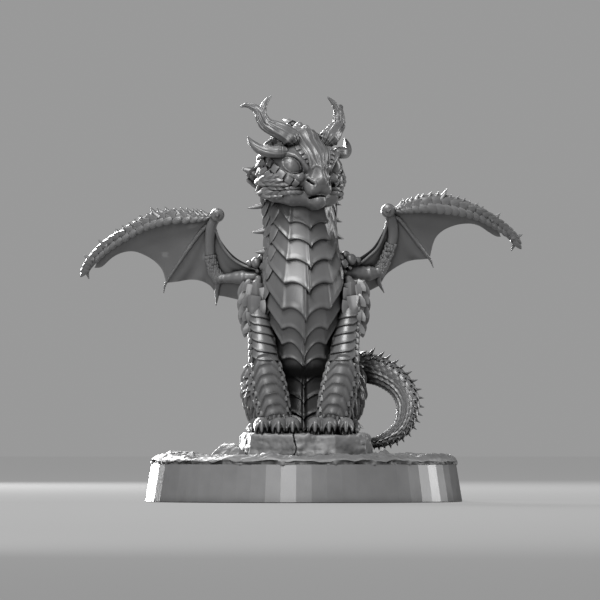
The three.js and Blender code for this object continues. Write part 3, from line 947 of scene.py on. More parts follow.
# face scales of the right side, as seen from straight ahead: root x and height, tip x and height, width
BROW_SQUARES = [(-1.45, 56.75, -1.5, 55.95, 0.95), (-1.15, 55.8, -0.95, 55.1, 0.85),
                (-0.65, 55.05, -0.3, 54.45, 0.8), (-0.1, 54.35, 0.2, 53.75, 0.7),
                (0.35, 53.6, 0.55, 53.1, 0.55)]
CHEEK_BLOCKS = [(-5.0, 53.9, -5.7, 52.7, 1.3), (-4.1, 52.9, -4.95, 51.75, 1.45),
                (-3.15, 51.95, -3.95, 50.85, 1.4), (-2.0, 51.05, -2.7, 50.05, 1.25),
                (-0.95, 50.4, -1.5, 49.6, 1.0)]
CHEEK_TOP = ([-7.8, -5.6, -4.2, -2.0, -0.2], [52.6, 52.6, 51.2, 49.9, 49.4])  # x and height along its edges
CHEEK_FOOT = ([-7.8, -7.3, -5.4, -0.8, -0.2], [50.0, 48.8, 47.9, 48.2, 48.8])
CHEEK_SPIKES = [(-7.3, 51.6, -9.8, 52.25, 2.2), (-6.6, 50.7, -8.4, 49.4, 1.9), (-5.8, 49.4, -7.6, 48.3, 1.6),
                (-6.4, 53.9, -8.2, 52.9, 1.6), (-7.2, 50.9, -8.6, 50.9, 1.5)]


def build_head():
    skull, details = Clay(), Clay()
    skull.add(*sculpt(head_field, (-9.5, -9.5, 45.4), (8.0, 5.6, 60.2), 0.13))
    build_eyes()
    back = turn_head([0, -1, 0])
    rng = np.random.default_rng(5)

    def both_sides(root, tip, width, thick, lift, template, sink):
        """A scale on the right side from root to tip, given as seen from ahead, and its mirror image."""
        root = face_point(np.array([root[0]]), np.array([root[1]]))
        normal = unit(slope_of(head_field, root, 0.15))
        way = np.array([tip[0] - root[0, 0], 0, tip[1] - root[0, 2]])
        reach = np.linalg.norm(way)
        tangent = unit(way - (normal @ way)[:, None] * normal)
        along = tangent * cos(lift) + normal * sin(lift)
        length = reach / np.clip(np.hypot(along[:, 0], along[:, 2]), 0.6, 1)
        leaves(details, root - normal * sink, way, normal, length, width, thick, lift, template)
        other = from_head(to_head(root) * [-1, 1, 1])
        other = settle(head_field, other, 2)
        normal = unit(slope_of(head_field, other, 0.15))
        way = turn_head(turn_to_head(way) * [-1, 1, 1])
        leaves(details, other - normal * sink, way, normal, length, width, thick, lift, template)

    for squares, thick, lift, sink in ((BROW_SQUARES, 0.3, 0.02, 0.06), (CHEEK_BLOCKS, 0.5, 0.04, 0.1)):
        for x, z, tip_x, tip_z, width in squares:
            both_sides((x, z), (tip_x, tip_z), width, thick, lift, PAD, sink)
    for row, z in enumerate(np.arange(52.4, 48.0, -0.62)):  # the cheek: close rows that grow towards the back
        x = -7.6 if row % 2 else -7.1
        while x < -0.3:
            size = np.interp(x, [-7.5, -0.5], [1.5, 0.7])
            if np.interp(x, *CHEEK_FOOT) < z < np.interp(x, *CHEEK_TOP):
                lift = 0.2 + 0.2 * rng.random()
                tip = (x + 0.3 - 1.25 * size, z - 0.22)
                both_sides((x + 0.3, z), tip, size, 0.42 * size, lift, CHEEK, 0.14)
            x += 0.74 * size
    for x, z, tip_x, tip_z, width in CHEEK_SPIKES:
        both_sides((x, z), (tip_x, tip_z), width, width * 0.75, 0.35, THORN, 0.3)
    for side in (RIGHT, LEFT):  # behind the cheeks the scales run back in rows
        for z in (55.4, 54.0, 52.6, 51.2, 49.8, 48.6):
            a = np.radians(np.arange(96, 180, 15)) + rng.normal(0, 0.03, 6)
            places = np.stack([side * 6.5 * np.sin(a), -0.5 + 6.5 * np.cos(a), np.full(6, z)], -1)
            p, n = on_head(places)
            leaves(details, p - n * 0.2, -UP * 0.5 + back, n, 2.4, 1.9, 0.5, 0.3, LEAF)
    for z, reach, count in ((60.0, 1.8, 5), (59.3, 3.4, 6), (58.4, 5.5, 7), (57.0, 5.5, 9), (55.6, 5.5, 9)):
        a = np.linspace(-1.6, 1.6, count) + rng.normal(0, 0.03, count)
        places = np.stack([reach * np.sin(a), -0.6 - reach * np.cos(a), np.full(count, z)], -1)
        p, n = on_head(places)
        leaves(details, p - n * 0.2, -UP * 0.8 + back * 0.6, n, 2.3, 1.8, 0.45, 0.25, LEAF)
    crest = np.array([(0, -3.4, 58.6), (0, -4.8, 57.2), (0, -5.6, 55.4), (0, -5.8, 53.4)])
    p, n = on_head(crest)
    leaves(details, p - n * 0.2, back + UP * 0.2, n, 2.6, 1.5, 0.8, 0.6, FLAME)
    make("head_skull", skull, "resin", ["head"], sharp=70)
    make("head_scales", details, "resin", sharp=50)


# ---------------------------------------------------------------- forelegs and haunches
FORELEG = [(7.0, 0.4, 35.0, 0.9, 1.2), (7.4, 0, 33.2, 1.7, 2.3), (7.3, -0.6, 30.4, 1.9, 2.5),
           (6.9, -1.6, 27.5, 1.8, 2.1), (6.6, -2.5, 25, 1.95, 2.1), (6.4, -3.2, 22.6, 2.15, 2.3),
           (6.0, -3.7, 20.4, 2.45, 2.5), (5.5, -4.2, 17.8, 2.65, 2.5), (4.9, -4.7, 15.2, 2.5, 2.3),
           (4.5, -5.1, 12.8, 2.3, 2.1), (4.3, -5.2, SOLE, 2.2, 2.0)]
TOES = [(6.6, -8.2), (3.95, -8.9), (1.75, -8.5)]  # how far out and how far forward each toe reaches
# the shoulder's rising scales: angle round the leg, height of the root, length, width, lift
FLAMES = [
    (0.9, 33.0, 1.9, 1.0, 0.25), (1.5, 32.6, 2.3, 1.0, 0.3), (2.1, 32.4, 2.2, 1.1, 0.3),
    (1.2, 31.4, 2.2, 0.9, 0.25), (1.7, 30.8, 2.4, 1.1, 0.4), (2.3, 30.4, 2.2, 1.1, 0.4),
    (0.85, 30.6, 2.0, 0.8, 0.2), (1.35, 29.5, 2.3, 0.9, 0.3), (1.75, 29.0, 2.5, 1.1, 0.5),
    (2.3, 28.6, 2.2, 1.1, 0.5), (1.0, 28.6, 1.9, 0.8, 0.3), (1.5, 27.6, 1.9, 0.9, 0.45),
    (1.9, 27.2, 1.9, 0.9, 0.5), (1.2, 26.9, 1.5, 0.8, 0.4),
]
# the broad scales over the front of the shoulder, whose points hang: angle, root height, length, width
EPAULETS = [
    (0.1, 33.9, 3.6, 2.4), (0.75, 33.6, 3.2, 1.8), (-0.45, 33.2, 3.0, 1.8), (0.3, 31.9, 3.2, 2.6),
    (-0.5, 31.0, 2.4, 1.6), (0.95, 31.0, 2.6, 1.4), (0.75, 29.4, 2.0, 1.2),
]
# the small scales beside each greave: angle, size, and how far below the greave's top they stand
BESIDE_GREAVES = [(-1.0, 1.3, 1.3), (-1.3, 1.2, 0.6), (0.92, 1.3, 1.3), (1.25, 1.3, 0.6), (1.55, 1.2, 1.2)]


def mirrored(stations, side):
    return [(side * s[0], *s[1:]) for s in stations]


def build_foreleg(side):
    leg = Limb(mirrored(FORELEG, side))
    heights = leg.path[::-1, 2]
    along = np.linspace(1, 0, leg.n)

    def at(z, a):
        """A point at height z; angles grow towards the dragon's flank on either side."""
        return leg.surface(np.interp(z, heights, along), np.asarray(a) * -side)

    core, plates, hide = Clay(), Clay(), Clay()
    leg.add_to(core, rows=90, sides=48, relief=lambda u, a: np.full(np.shape(u), -0.18))

    def ring_edge(low):
        def edge(a):
            outer = 1.1 * np.clip((a - 0.35) / 0.9, 0, 1) ** 1.2
            return low + outer - 0.25 * np.cos(1.5 * a) + 0.55 * np.sin(a)
        return edge

    rings = [29.6, 28.5, 27.3, 26.0, 24.6, 23.2, 21.9]
    for above, below in zip(rings[:-1], rings[1:]):
        plate(plates, at, ring_edge(below), lambda a, z=above: ring_edge(z)(a) + 0.5, (-1.45, 0.8),
              lip=0.28, tuck=0.4, columns=33)

    def greave_edge(top):
        def edge(a):
            s = np.abs(a + 0.05)
            return top - 0.12 * np.clip(s / 0.36, 0, 1) ** 2 - 1.7 * np.clip((s - 0.36) / 0.5, 0, 1)
        return edge

    def dish(a, t):
        return -0.12 * np.sin(pi * np.clip(t * 1.6, 0, 1)) * np.cos(a)

    greaves = [22.6, 21.2, 19.7, 18.2, 16.6, 15.0, 13.6, 12.3]
    for above, below in zip(greaves[:-1], greaves[1:]):
        plate(plates, at, greave_edge(above), lambda a, z=below: greave_edge(z)(a) - 0.5, (-1.0, 0.9),
              lip=0.42, tuck=0.4, columns=41, relief=dish)
    rng = np.random.default_rng(21 + side)
    for z in greaves[1:-1]:  # a pointed scale beside each greave, tip up, on both of its sides
        for a, size, drop in BESIDE_GREAVES:
            point, normal = at(np.array([z - drop]), np.array([a]))
            leaves(hide, point - normal * 0.2, UP, normal, size, 1.0, 0.55, 0.2, LEAF)
    for z in np.arange(28.4, 21.8, -0.95):  # a column of small square scales beside the rings
        point, normal = at(np.array([z]), np.array([0.98]))
        leaves(hide, point - normal * 0.1, -UP, normal, 0.95, 1.1, 0.4, 0.05, PAD)
    for row, z in enumerate(np.arange(34.5, 12.2, -1.25)):  # scales around the back and outer side of the leg
        start, stop = (1.5, tau - 1.5) if z > 22 else (1.8, tau - 1.6)
        a = np.linspace(start, stop, 8 if z > 22 else 6) + (0.22 if row % 2 else 0)
        point, normal = at(z + rng.normal(0, 0.06, len(a)), a)
        leaves(hide, point - normal * 0.3, -UP, normal, 1.9, 1.7, 0.5, 0.2, LEAF)
    # the shoulder: broad scales whose tips hang, and a crown of flames whose tips rise and flare out
    a, z, size, width = (np.array(column) for column in zip(*EPAULETS))
    point, normal = at(z, a)
    leaves(hide, point - normal * 0.3, -UP, normal, size, width, 0.9, 0.1, LEAF)
    a, z, size, width, lift = (np.array(column) for column in zip(*FLAMES))
    point, normal = at(z, a)
    leaves(hide, point - normal * 0.35, UP, normal, size, width, 1.1, lift, FLAME)
    # the paw: three toes, each with a hooked claw
    toes = [np.array([side * x, y]) for x, y in TOES]
    wrist = np.array([side * 4.4, -5.5, 12.2])

    def paw(p):
        total = join(ball(p, wrist, (2.9, 2.2, 1.5)), rod(p, wrist, (side * 4.4, -4.4, 11.6), 1.6, 1.8), 0.4)
        for toe in toes:
            knuckle = np.array([0.97 * toe[0] + 0.03 * wrist[0], toe[1] + 1.5, 12.0])
            tip = np.array([toe[0], toe[1] + 0.55, 11.45])
            digit = chain(p, [wrist, knuckle, tip], [1.3, 1.28, 1.2], 0.3)
            total = join(total, np.maximum(digit, toe[1] - 0.25 - p[..., 1]), 0.22)
            for beside in (-0.5, 0.5):  # the hollows that the claw stands between
                total = carve(total, ball(p, (toe[0] + beside, toe[1] - 0.3, 10.95), (0.34, 0.6, 0.75)), 0.12)
        return np.maximum(total + 0.02 * noise(p, 0.7), ROCK_TOP + 0.1 - p[..., 2])

    foot = Clay()
    low_x, high_x = sorted((side * 0.3, side * 8.9))
    foot.add(*sculpt(paw, (low_x, -10.6, ROCK_TOP - 0.2), (high_x, -1.6, 14.2), 0.13))
    for x, y in toes:
        stations = [(x, y + 0.6, 12.3, 0.42), (x, y - 0.1, 12.45, 0.42), (x, y - 0.42, 12.05, 0.36),
                    (x, y - 0.6, 11.3, 0.26), (x, y - 0.62, 10.7, 0.1)]
        Limb(stations, front=UP).add_to(foot, rows=24, sides=16)
        cuff = [(x - 0.86, y + 0.1, 10.9, 0.08), (x - 0.72, y - 0.2, 11.8, 0.15), (x, y - 0.1, 12.6, 0.17),
                (x + 0.72, y - 0.2, 11.8, 0.15), (x + 0.86, y + 0.1, 10.9, 0.08)]
        Limb(cuff).add_to(foot, rows=30, sides=10)
    # small scales where the greaves meet the toes
    a = np.linspace(-1.2, 1.2, 9)
    point, normal = at(13.3 - 0.2 * np.abs(a), a)
    leaves(hide, point - normal * 0.1, -UP, normal, 1.2, 1.0, 0.45, 0.25, LEAF)
    name = SIDE_NAMES[side]
    make(f"foreleg_{name}_core", core, "resin", [f"foreleg_{name}"])
    make(f"foreleg_{name}_plates", plates, "resin", sharp=55)
    make(f"foreleg_{name}_scales", hide, "resin", sharp=50)
    make(f"paw_{name}", foot, "resin", sharp=60)


def build_haunch(side):
    def thigh(p):
        q = p * [side, 1, 1]
        body = ball(q, (6.3, 4.4, 17.4), (2.9, 5.3, 5.3))
        body = join(body, rod(q, (6.7, 0.6, 17.5), (6.4, 1.0, 12.8), 1.6, 1.1), 0.8)
        body = join(body, rod(q, (6.7, 1.2, 12.4), (6.9, -1.4, 11.5), 1.3, 1.0), 0.5)
        for x in (-0.8, 0.3, 1.2):
            toe = [(6.9 + x * 0.5, -0.8, 11.7), (7.0 + x, -2.2, 11.7), (7.0 + x, -3.2, 11.1)]
            body = join(body, chain(q, toe, [0.8, 0.66, 0.5], 0.2), 0.18)
        return np.maximum(body + 0.03 * noise(p, 1.0), ROCK_TOP + 0.1 - p[..., 2])

    clay, hide = Clay(), Clay()
    low_x, high_x = sorted((side * 3.2, side * 10.2))
    clay.add(*sculpt(thigh, (low_x, -4.6, ROCK_TOP - 0.2), (high_x, 10.4, 23.2), 0.2))
    rng = np.random.default_rng(33 + side)
    for row, z in enumerate(np.arange(24.1, 12.2, -1.2)):
        reach = np.interp(z, [18, 21.8, 23, 24.2], [1, 0.9, 0.6, 0.3])
        step = 0.26 / reach
        # from the knee's front round to the back
        a = np.arange(-1.1, 2.3, step) + (step / 2 if row % 2 else 0)
        x, y = side * (6.3 + 3.4 * reach * np.cos(a)), 4.4 + 5.8 * reach * np.sin(a)
        places = np.stack([x, y, np.full(len(a), z)], -1)
        places = places + rng.normal(0, 0.08, places.shape)
        point = settle(thigh, places, 5)
        normal = unit(slope_of(thigh, point, 0.2))
        grow = 1 + 0.25 * rng.random(len(point))
        leaves(hide, point - normal * 0.25, (0, 0.45, -1), normal, 2.1 * grow, 1.7, 0.55, 0.3, LEAF)
    # spikes that stand out past the foreleg
    spikes = [(9.4, 2.0, 21.6), (9.4, 1.2, 20.2), (9.6, 3.4, 19.4), (9.6, 1.2, 18.4), (9.6, 3.0, 16.8),
              (9.4, 1.0, 15.8)]
    point = settle(thigh, np.array(spikes) * [side, 1, 1], 5)
    normal = unit(slope_of(thigh, point, 0.2))
    lengths = [1.8, 1.7, 1.9, 1.7, 1.6, 1.4]
    leaves(hide, point - normal * 0.3, (side * 0.4, -0.1, 0.8), normal, lengths, 1.1, 0.9, 0.5, FLAME)
    for x in (6.3, 7.3, 8.2):  # the claws of the hind foot
        stations = [(side * x, -3.0, 11.4, 0.34), (side * x, -3.5, 11.3, 0.28), (side * x, -3.8, 10.8, 0.1)]
        Limb(stations, front=UP).add_to(clay, rows=14, sides=12)
    name = SIDE_NAMES[side]
    make(f"haunch_{name}_thigh", clay, "resin", [f"haunch_{name}"], sharp=60)
    make(f"haunch_{name}_scales", hide, "resin", sharp=50)


# ---------------------------------------------------------------- tail
def build_tail():
    tail = Limb([
        (0.6, 9.0, 15.0, 2.5), (4.6, 10.4, 18.6, 2.2), (8.6, 9.7, 20.7, 2.0), (10.8, 8.9, 20.6, 1.85),
        (13.0, 8.0, 19.7, 1.7), (14.9, 6.9, 18.2, 1.55), (16.0, 6.0, 16.2, 1.4), (16.1, 5.2, 14.3, 1.25),
        (15.5, 4.5, 12.3, 1.05), (14.1, 3.9, 10.8, 0.85), (12.4, 3.4, 9.9, 0.6), (10.9, 3.2, 9.5, 0.3),
    ])
    core, hide = Clay(), Clay()
    tail.add_to(core, rows=140, sides=40, relief=lambda u, a: -0.2 * (1 - u))
    inner = pi / 2  # the belly of the tail faces the inside of its curl
    for i, u in enumerate(np.linspace(0.03, 0.985, 44)):
        radius = tail.pick(tail.size, np.array(u)).mean()
        count = 9 if u < 0.8 else 7
        a = inner + 0.75 + np.arange(count) / (count - 1) * (tau - 1.5) + (0.5 - i % 2) * 0.3
        point, normal = tail.surface(np.full(count, u), a)
        heading = tail.heading(np.full(count, u))
        crest = np.exp(-((np.abs(a - inner - pi)) / 0.6) ** 2)
        long = 1.15 * (0.9 + 0.75 * radius / 2) * (1 + 0.25 * crest)
        leaves(hide, point - normal * 0.2, heading, normal, long, 1.05 * radius**0.8, 0.3 + 0.16 * radius,
               0.28 + 0.12 * crest, LEAF)
    edges = np.linspace(0.12, 0.99, 34)
    for above, below in zip(edges[:-1], edges[1:]):
        plate(core, tail.surface, lambda a, u=below: u + 0.004 * np.cos((a - inner) * 2),
              lambda a, u=above: u - 0.008 + 0 * a, (inner - 0.85, inner + 0.85),
              lip=0.22, tuck=0.3, columns=15)
    # three rows of spikes: along the crest, and on each side of it
    for turn, size, thick, lift in ((0, 2.3, 0.9, 0.72), (-0.62, 1.7, 0.7, 0.55), (0.62, 1.7, 0.7, 0.55)):
        u = np.linspace(0.14, 0.965, 22) + (0.018 if turn else 0)
        radius = tail.pick(tail.size, u).mean(-1)
        point, normal = tail.surface(u, inner + pi + turn)
        leaves(hide, point - normal * 0.35, tail.heading(u), normal, size * (0.45 + 0.36 * radius),
               0.55 + 0.45 * radius, thick, lift, THORN)
    make("tail_core", core, "resin", ["tail"])
    make("tail_scales", hide, "resin", sharp=40)


# ---------------------------------------------------------------- wings
# lumps at the root of each wing: place across and up the wing, how far ahead of it, radius
SHOULDER_LUMPS = [(7.4, 37.7, 1.2, 0.95), (8.5, 37.6, 0.9, 0.55), (6.2, 37.0, 2.0, 0.8),
                  (7.2, 36.4, 1.7, 0.4), (6.3, 35.8, 2.2, 0.45), (6.6, 38.4, 0.6, 0.7),
                  (5.8, 38.0, 1.8, 0.5)]
SWEEP = radians(13)  # how far the wings turn back from straight out
LEAN = radians(18)  # the wings lean forward, so that their skins face a little downwards
# each wing as it would lie flat, (outward, height[, radius]): the bones, the rims of three skins, the front
# edge of the skin before the arm, and the tall spikes as (place along the leading edge, height)
WINGS = {
    RIGHT: {
        "wrist": (13.65, 45.2),
        "ball": 1.12,
        "lead": [(14.6, 45.0, 0.5), (17.2, 44.9, 0.85), (21.3, 44.85, 1.1), (24.6, 44.0, 0.98),
                 (28.0, 42.3, 0.92), (31.0, 40.4, 0.85), (33.2, 38.3, 0.7), (34.3, 36.6, 0.42),
                 (34.1, 35.3, 0.1)],
        "arm": [(13.65, 45.2, 0.8), (14.6, 43.4, 0.85), (14.8, 39.7, 0.8), (14.3, 36.9, 0.85),
                (13.4, 35.3, 0.9)],
        "finger": [(14.4, 44.4, 0.6), (16.6, 42.2, 0.6), (20.0, 37.4, 0.42), (21.8, 34.6, 0.3),
                   (22.2, 33.0, 0.06)],
        "inner": [(13.4, 35.5, 0.7), (13.7, 33.6, 0.4), (13.75, 32.4, 0.3), (13.9, 31.0, 0.06)],
        "humerus": [(13.4, 35.3, 0.85), (12.2, 35.3, 0.75), (10.9, 35.4, 0.95), (9.7, 35.4, 1.15),
                    (8.4, 35.4, 1.0), (6.4, 35.5, 1.2), (4.8, 35.7, 1.8), (3.4, 35.9, 2.2)],
        "edge_1": [(33.2, 37.0), (32.0, 37.2), (30.4, 38.6), (28.8, 39.4), (27.0, 39.6), (25.2, 39.0),
                   (23.6, 38.0), (22.4, 36.6), (21.8, 34.6)],
        "edge_2": [(21.8, 34.6), (20.0, 34.8), (18.1, 35.1), (16.3, 34.9), (14.8, 34.1), (13.75, 32.6)],
        "edge_3": [(13.75, 32.6), (12.4, 32.4), (10.7, 32.0), (9.0, 31.6), (7.0, 31.8)],
        "fore": [(13.9, 44.4), (14.0, 43.2), (13.1, 40.8), (11.7, 38.8), (10.1, 37.6), (8.1, 36.8),
                 (6.6, 36.3)],
        "spikes": [(0.3, 2.0), (0.62, 1.3), (0.74, 1.5)],
    },
    LEFT: {
        "wrist": (13.3, 45.9),
        "ball": 1.15,
        "lead": [(14.3, 45.9, 0.5), (16.4, 46.4, 0.95), (19.8, 46.9, 1.4), (23.4, 46.6, 1.25),
                 (27.0, 45.6, 0.95), (30.0, 44.1, 0.8), (32.2, 42.5, 0.68), (33.3, 41.0, 0.42),
                 (32.9, 39.7, 0.1)],
        "arm": [(13.3, 45.9, 0.8), (13.9, 44.1, 0.85), (14.0, 41.4, 0.8), (12.9, 38.2, 0.85),
                (12.0, 36.4, 0.9)],
        "finger": [(14.0, 45.2, 0.6), (15.4, 44.2, 0.6), (18.6, 40.0, 0.45), (19.9, 38.4, 0.35),
                   (20.5, 37.0, 0.06)],
        "inner": [(12.0, 36.4, 0.6), (11.8, 35.2, 0.4), (12.1, 34.2, 0.3), (12.7, 33.0, 0.06)],
        "humerus": [(12.0, 36.4, 0.85), (11.2, 36.2, 0.95), (10.4, 36.1, 1.2), (9.4, 36.1, 1.1),
                    (8.2, 36.2, 1.2), (6.4, 36.3, 1.2), (4.8, 36.3, 1.8), (3.4, 36.3, 2.2)],
        "edge_1": [(31.2, 41.9), (30.4, 42.0), (29.2, 42.7), (27.8, 43.6), (26.3, 44.0), (24.2, 43.8),
                   (22.1, 42.9), (20.7, 41.4), (19.9, 38.4)],
        "edge_2": [(19.9, 38.4), (18.7, 38.3), (17.4, 38.2), (16.0, 37.8), (14.2, 36.8), (12.9, 35.7),
                   (12.1, 34.2)],
        "edge_3": [(12.1, 34.2), (11.3, 33.8), (8.9, 32.6), (7.0, 31.9)],
        "fore": [(13.3, 45.0), (13.3, 44.4), (12.7, 42.4), (11.7, 40.2), (10.2, 38.7), (8.6, 37.5),
                 (6.8, 36.8)],
        "spikes": [(0.3, 2.2), (0.6, 1.5), (0.8, 1.6)],
    },
}


def build_wing(side):
    wing = WINGS[side]
    pin = np.mean(corners(f"wing_pin_{SIDE_NAMES[side]}"), axis=0)

    def lay(points, ahead=0.0):
        """Points of the flat wing in the row frame: swept back and leant forward."""
        points = np.asarray(points, float)
        back = (points[..., 0] - abs(pin[0])) * np.tan(SWEEP) + (pin[2] - points[..., 1]) * np.tan(LEAN)
        y = pin[1] + back - ahead
        return np.stack([side * points[..., 0], y, points[..., 1]], -1)

    def bone(stations, ahead=0.0, flat=1.0):
        return Limb([(*lay((x, z), ahead), r, r * flat) for x, z, r in stations])

    def panel(clay, first, second, edge, billow, folds=0.0, rows=34, columns=44):
        """A membrane between two bones that start together, out to its scalloped edge."""
        s, t = np.linspace(0, 1, rows), np.linspace(0, 1, columns)
        one = smooth_path([p[:2] for p in first], rows)
        two = smooth_path([p[:2] for p in second], rows)
        rim = smooth_path(edge, columns)
        grid_s, grid_t = s[:, None, None], t[None, :, None]
        plain = one[:, None] * (1 - grid_t) + two[:, None] * grid_t
        chord = rim[0] * (1 - t[:, None]) + rim[-1] * t[:, None]
        shape = plain + (rim - chord)[None] * grid_s**2
        shape += ((rim[0] - one[-1]) * (1 - grid_t) + (rim[-1] - two[-1]) * grid_t) * grid_s**2
        sag = billow * np.sin(pi * t)[None] ** 0.8 * s[:, None] ** 0.8
        sag = sag + folds * np.sin(5 * pi * t + 2.2 * s[:, None]) * (s[:, None] ** 1.5) * np.sin(pi * t)
        middle = lay(shape)
        middle[..., 1] += sag + 0.1
        thick = 0.16 + 0.1 * (1 - s[:, None]) * np.ones_like(sag)
        front, back = middle.copy(), middle.copy()
        front[..., 1] -= thick
        back[..., 1] += thick
        clay.shell(front, back) if faces_front(front) else clay.shell(front[::-1], back[::-1])

    def faces_front(grid):
        a, b, c = grid[5, 5], grid[5, 6], grid[6, 5]
        return np.cross(b - a, c - a)[1] < 0

    skin, bones, hide = Clay(), Clay(), Clay()
    lead_line = [p[:2] for p in wing["lead"]][:-1]
    panel(skin, [wing["wrist"]] + lead_line, wing["finger"][:-1], wing["edge_1"], 0.9, 0.12)
    panel(skin, wing["finger"][:-1], wing["arm"] + wing["inner"][1:-1], wing["edge_2"], 0.7, 0.2)
    panel(skin, wing["inner"][:-1], wing["humerus"], wing["edge_3"], 0.35, 0.05)
    panel(skin, wing["arm"], wing["fore"], [p[:2] for p in wing["humerus"]], 0.45, 0.08)

    lead = bone([(x, z, 0.88 * r) for x, z, r in wing["lead"]], 0.25, 0.62)
    lead.add_to(bones, rows=90, sides=28)
    finger = bone([(x, z, 0.62 * r) for x, z, r in wing["finger"]], 0.05)
    finger.add_to(bones, rows=120, sides=16, relief=lambda u, a: 0.025 * np.sin(u * 110 + 3 * np.cos(a)))
    bone(wing["inner"], 0.1).add_to(bones, rows=30, sides=14)
    arm = bone(wing["arm"], 0.2, 0.8)
    arm.add_to(bones, rows=50, sides=20)
    ribs = bone(wing["humerus"], 0.35)
    ribs.add_to(bones, rows=90, sides=32, relief=lambda u, a: 0.025 * np.sin(u * 46))
    rim = Limb([(*lay(p, 0.1), 0.26) for p in wing["fore"]])
    rim.add_to(bones, rows=50, sides=12)
    ball_centre = lay(wing["wrist"], 0.5)
    knob = Limb([(*(ball_centre + [0, 0.9, 0]), 0.45), (*(ball_centre + [0, 0.6, 0]), 0.9 * wing["ball"]),
                 (*ball_centre, wing["ball"]), (*(ball_centre - [0, 0.7, 0]), 0.85 * wing["ball"]),
                 (*(ball_centre - [0, 1.05, 0]), 0.45), (*(ball_centre - [0, 1.3, 0.05]), 0.3),
                 (*(ball_centre - [0, 1.9, 0.25]), 0.06)], front=UP)
    knob.add_to(bones, rows=40, sides=32)

    rng = np.random.default_rng(50 + side)

    def on_lead(u, lean):
        """A place on the leading edge; lean is how far round from its front towards its top."""
        u = np.asarray(u, float)
        return *lead.surface(u, np.full(len(u), -side * lean)), lead.heading(u), lead.pick(lead.size, u)[:, 0]

    point, normal, out, size = on_lead(np.linspace(0.02, 0.7, 17), -0.3)  # the lower row: round lobes
    leaves(hide, point - normal * 0.2, out - 0.4 * UP, normal, 0.7 + 0.9 * size, 1.3 * size, 0.4, 0.26, LOBE)
    point, normal, out, size = on_lead(np.linspace(0.02, 0.5, 11), 0.7)  # the upper row, lying close
    leaves(hide, point - normal * 0.25, out + 0.25 * UP, normal, 2.2, 1.7 * size, 0.4, 0.1, LEAF)
    place = np.linspace(0.5, 0.85, 10)  # and, farther out, standing clear
    point, normal, out, size = on_lead(place, 0.75)
    leaves(hide, point - normal * 0.3, out + 0.2 * UP, normal, 2.3 - 0.5 * place, 1.25, 0.6, 0.3, LEAF)
    point, normal, out, size = on_lead(np.linspace(0.03, 0.5, 15), pi / 2 - 0.1)  # teeth along the top
    leaves(hide, point - normal * 0.4, out, normal, 1.3 + 0.4 * rng.random(15), 1.1, 0.9, 0.5, THORN)
    for place, tall in wing["spikes"]:
        point, normal, out, size = on_lead([place], pi / 2 - 0.1)
        leaves(hide, point - normal * 0.6, out, normal, 0.7 * tall + 0.8, 1.6, 1.2, 0.75, THORN)
    # the scaly patch on the forearm, and lumps at the shoulder
    for row, u in enumerate(np.linspace(0.55, 0.97, 10)):
        a = np.arange(-1.05, 1.1, 0.42) + (0.21 if row % 2 else 0)
        point, normal = arm.surface(u + rng.normal(0, 0.008, len(a)), a + rng.normal(0, 0.06, len(a)))
        size = 1 + 0.3 * rng.random(len(a))
        heading = arm.heading(np.full(len(a), u))
        leaves(hide, point - normal * 0.05, heading, normal, 0.7 * size, 0.55 * size, 0.3, 0.14, LOBE)
    for x, z, ahead, r in SHOULDER_LUMPS:
        place = lay((x, z + (0 if side == RIGHT else 0.5)), ahead)
        latitudes = (-1.45, -0.9, -0.3, 0.3, 0.9, 1.45)
        lump = Limb([(*(place + [r * sin(a), 0, 0]), r * cos(a)) for a in latitudes])
        lump.add_to(bones, rows=24, sides=24, relief=lambda u, a: 0.05 * np.sin(9 * u + 2) * np.sin(2 * a))
    name = SIDE_NAMES[side]
    make(f"wing_{name}_membrane", skin, "resin", [f"wing_{name}"], sharp=60)
    make(f"wing_{name}_bones", bones, "resin")
    make(f"wing_{name}_scales", hide, "resin", sharp=40)


# ---------------------------------------------------------------- stage
# metres
FLOOR_RADIUS = 2.2
MIDDLE_X = -0.0006
CAMERA_PLACE = (MIDDLE_X, -1.5, 0.012)
CAMERA_TARGET = (MIDDLE_X, 0, 0.0318)
CHEST = Vector((0, 0, 0.035))


def build_stage():
    """A round, pale table top, evenly bright out to its edge."""
    paper = Finish("paper")
    settings = {"Base Color": (0.08, 0.08, 0.08, 1), "Roughness": 0.9, "Specular IOR Level": 0,
                "Emission Color": (1, 1, 1, 1), "Emission Strength": 0.3}
    for name, value in settings.items():
        paper.shader.inputs[name].default_value = value
    a = np.arange(96) / 96 * tau
    rim = np.stack([FLOOR_RADIUS * np.cos(a), FLOOR_RADIUS * np.sin(a), 0 * a], -1)
    mesh = bpy.data.meshes.new("table_top")
    mesh.from_pydata(rim, [], [list(range(len(rim)))])
    mesh.materials.append(paper.material)
    table_top = bpy.data.objects.new("table_top", mesh)
    bpy.context.scene.collection.objects.link(table_top)


def aimed(name, data, place, target):
    """Adds a camera or light at this place, turned to the target."""
    made = bpy.data.objects.new(name, data)
    made.location = place
    made.rotation_euler = (Vector(target) - Vector(place)).to_track_quat("-Z", "Y").to_euler()
    bpy.context.scene.collection.objects.link(made)
    return made


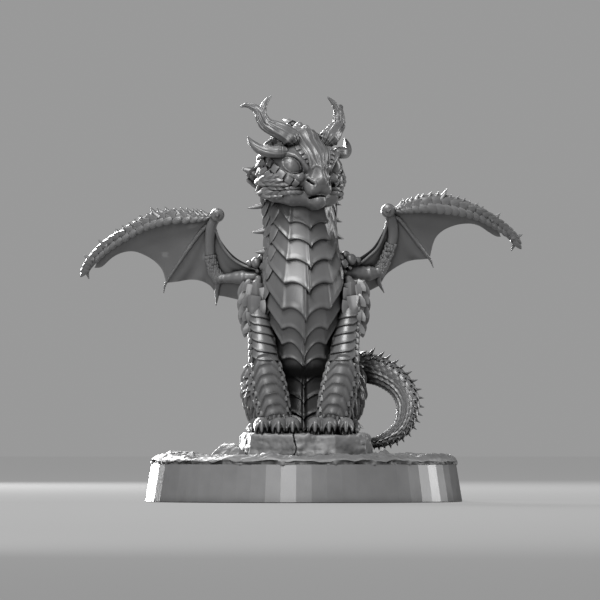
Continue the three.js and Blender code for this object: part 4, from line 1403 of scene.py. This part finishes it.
def softbox(name, azimuth, elevation, distance, width, height, watts):
    """A lit panel facing the figure; azimuth 0 is the camera's side, and +90 degrees its right."""
    data = bpy.data.lights.new(name, "AREA")
    data.shape = "RECTANGLE"
    data.size, data.size_y, data.energy = width, height, watts
    a, e = radians(azimuth), radians(elevation)
    aimed(name, data, CHEST + distance * Vector((sin(a) * cos(e), -cos(a) * cos(e), sin(e))), CHEST)


def build_camera_and_lights():
    camera = aimed("camera", bpy.data.cameras.new("camera"), CAMERA_PLACE, CAMERA_TARGET)
    camera.data.sensor_width = 36
    camera.data.lens = 571
    bpy.context.scene.camera = camera
    softbox("top_softbox", -24, 56, 0.5, 0.24, 0.24, 3.2)
    softbox("front_strip", -13, 14, 0.6, 0.06, 0.36, 1.3)
    softbox("right_strip", 110, 14, 0.5, 0.06, 0.4, 1.5)
    softbox("left_rim", -156, 16, 0.5, 0.12, 0.45, 7.5)
    # the studio wall: pale to look at, while the room itself gives only a little fill
    world = bpy.data.worlds.new("studio")
    world.use_nodes = True
    nodes, links = world.node_tree.nodes, world.node_tree.links
    fill = nodes["Background"]
    fill.inputs["Color"].default_value = (0.5, 0.5, 0.5, 1)
    fill.inputs["Strength"].default_value = 0.03
    wall = nodes.new("ShaderNodeBackground")
    wall.inputs["Color"].default_value = (0.32, 0.32, 0.32, 1)
    seen = nodes.new("ShaderNodeLightPath")
    blend = nodes.new("ShaderNodeMixShader")
    links.new(seen.outputs["Is Camera Ray"], blend.inputs["Fac"])
    links.new(fill.outputs["Background"], blend.inputs[1])
    links.new(wall.outputs["Background"], blend.inputs[2])
    links.new(blend.outputs["Shader"], nodes["World Output"].inputs["Surface"])
    bpy.context.scene.world = world
    bpy.context.scene.view_settings.view_transform = "Standard"


build_camera_and_lights()
build_stage()
build_base()
build_ground()
build_rocks()
build_torso()
build_horns()
build_head()
for side in (RIGHT, LEFT):
    build_foreleg(side)
    build_haunch(side)
    build_wing(side)
build_tail()
record_slots = {part["node"]: part["material_slot"] for part in frame["record"]["subparts"]}
for node in frame["nodes"].values():  # what still shows from the CAD gets its finish
    node.data.materials.clear()
    node.data.materials.append(MATERIALS[record_slots[node.name]])
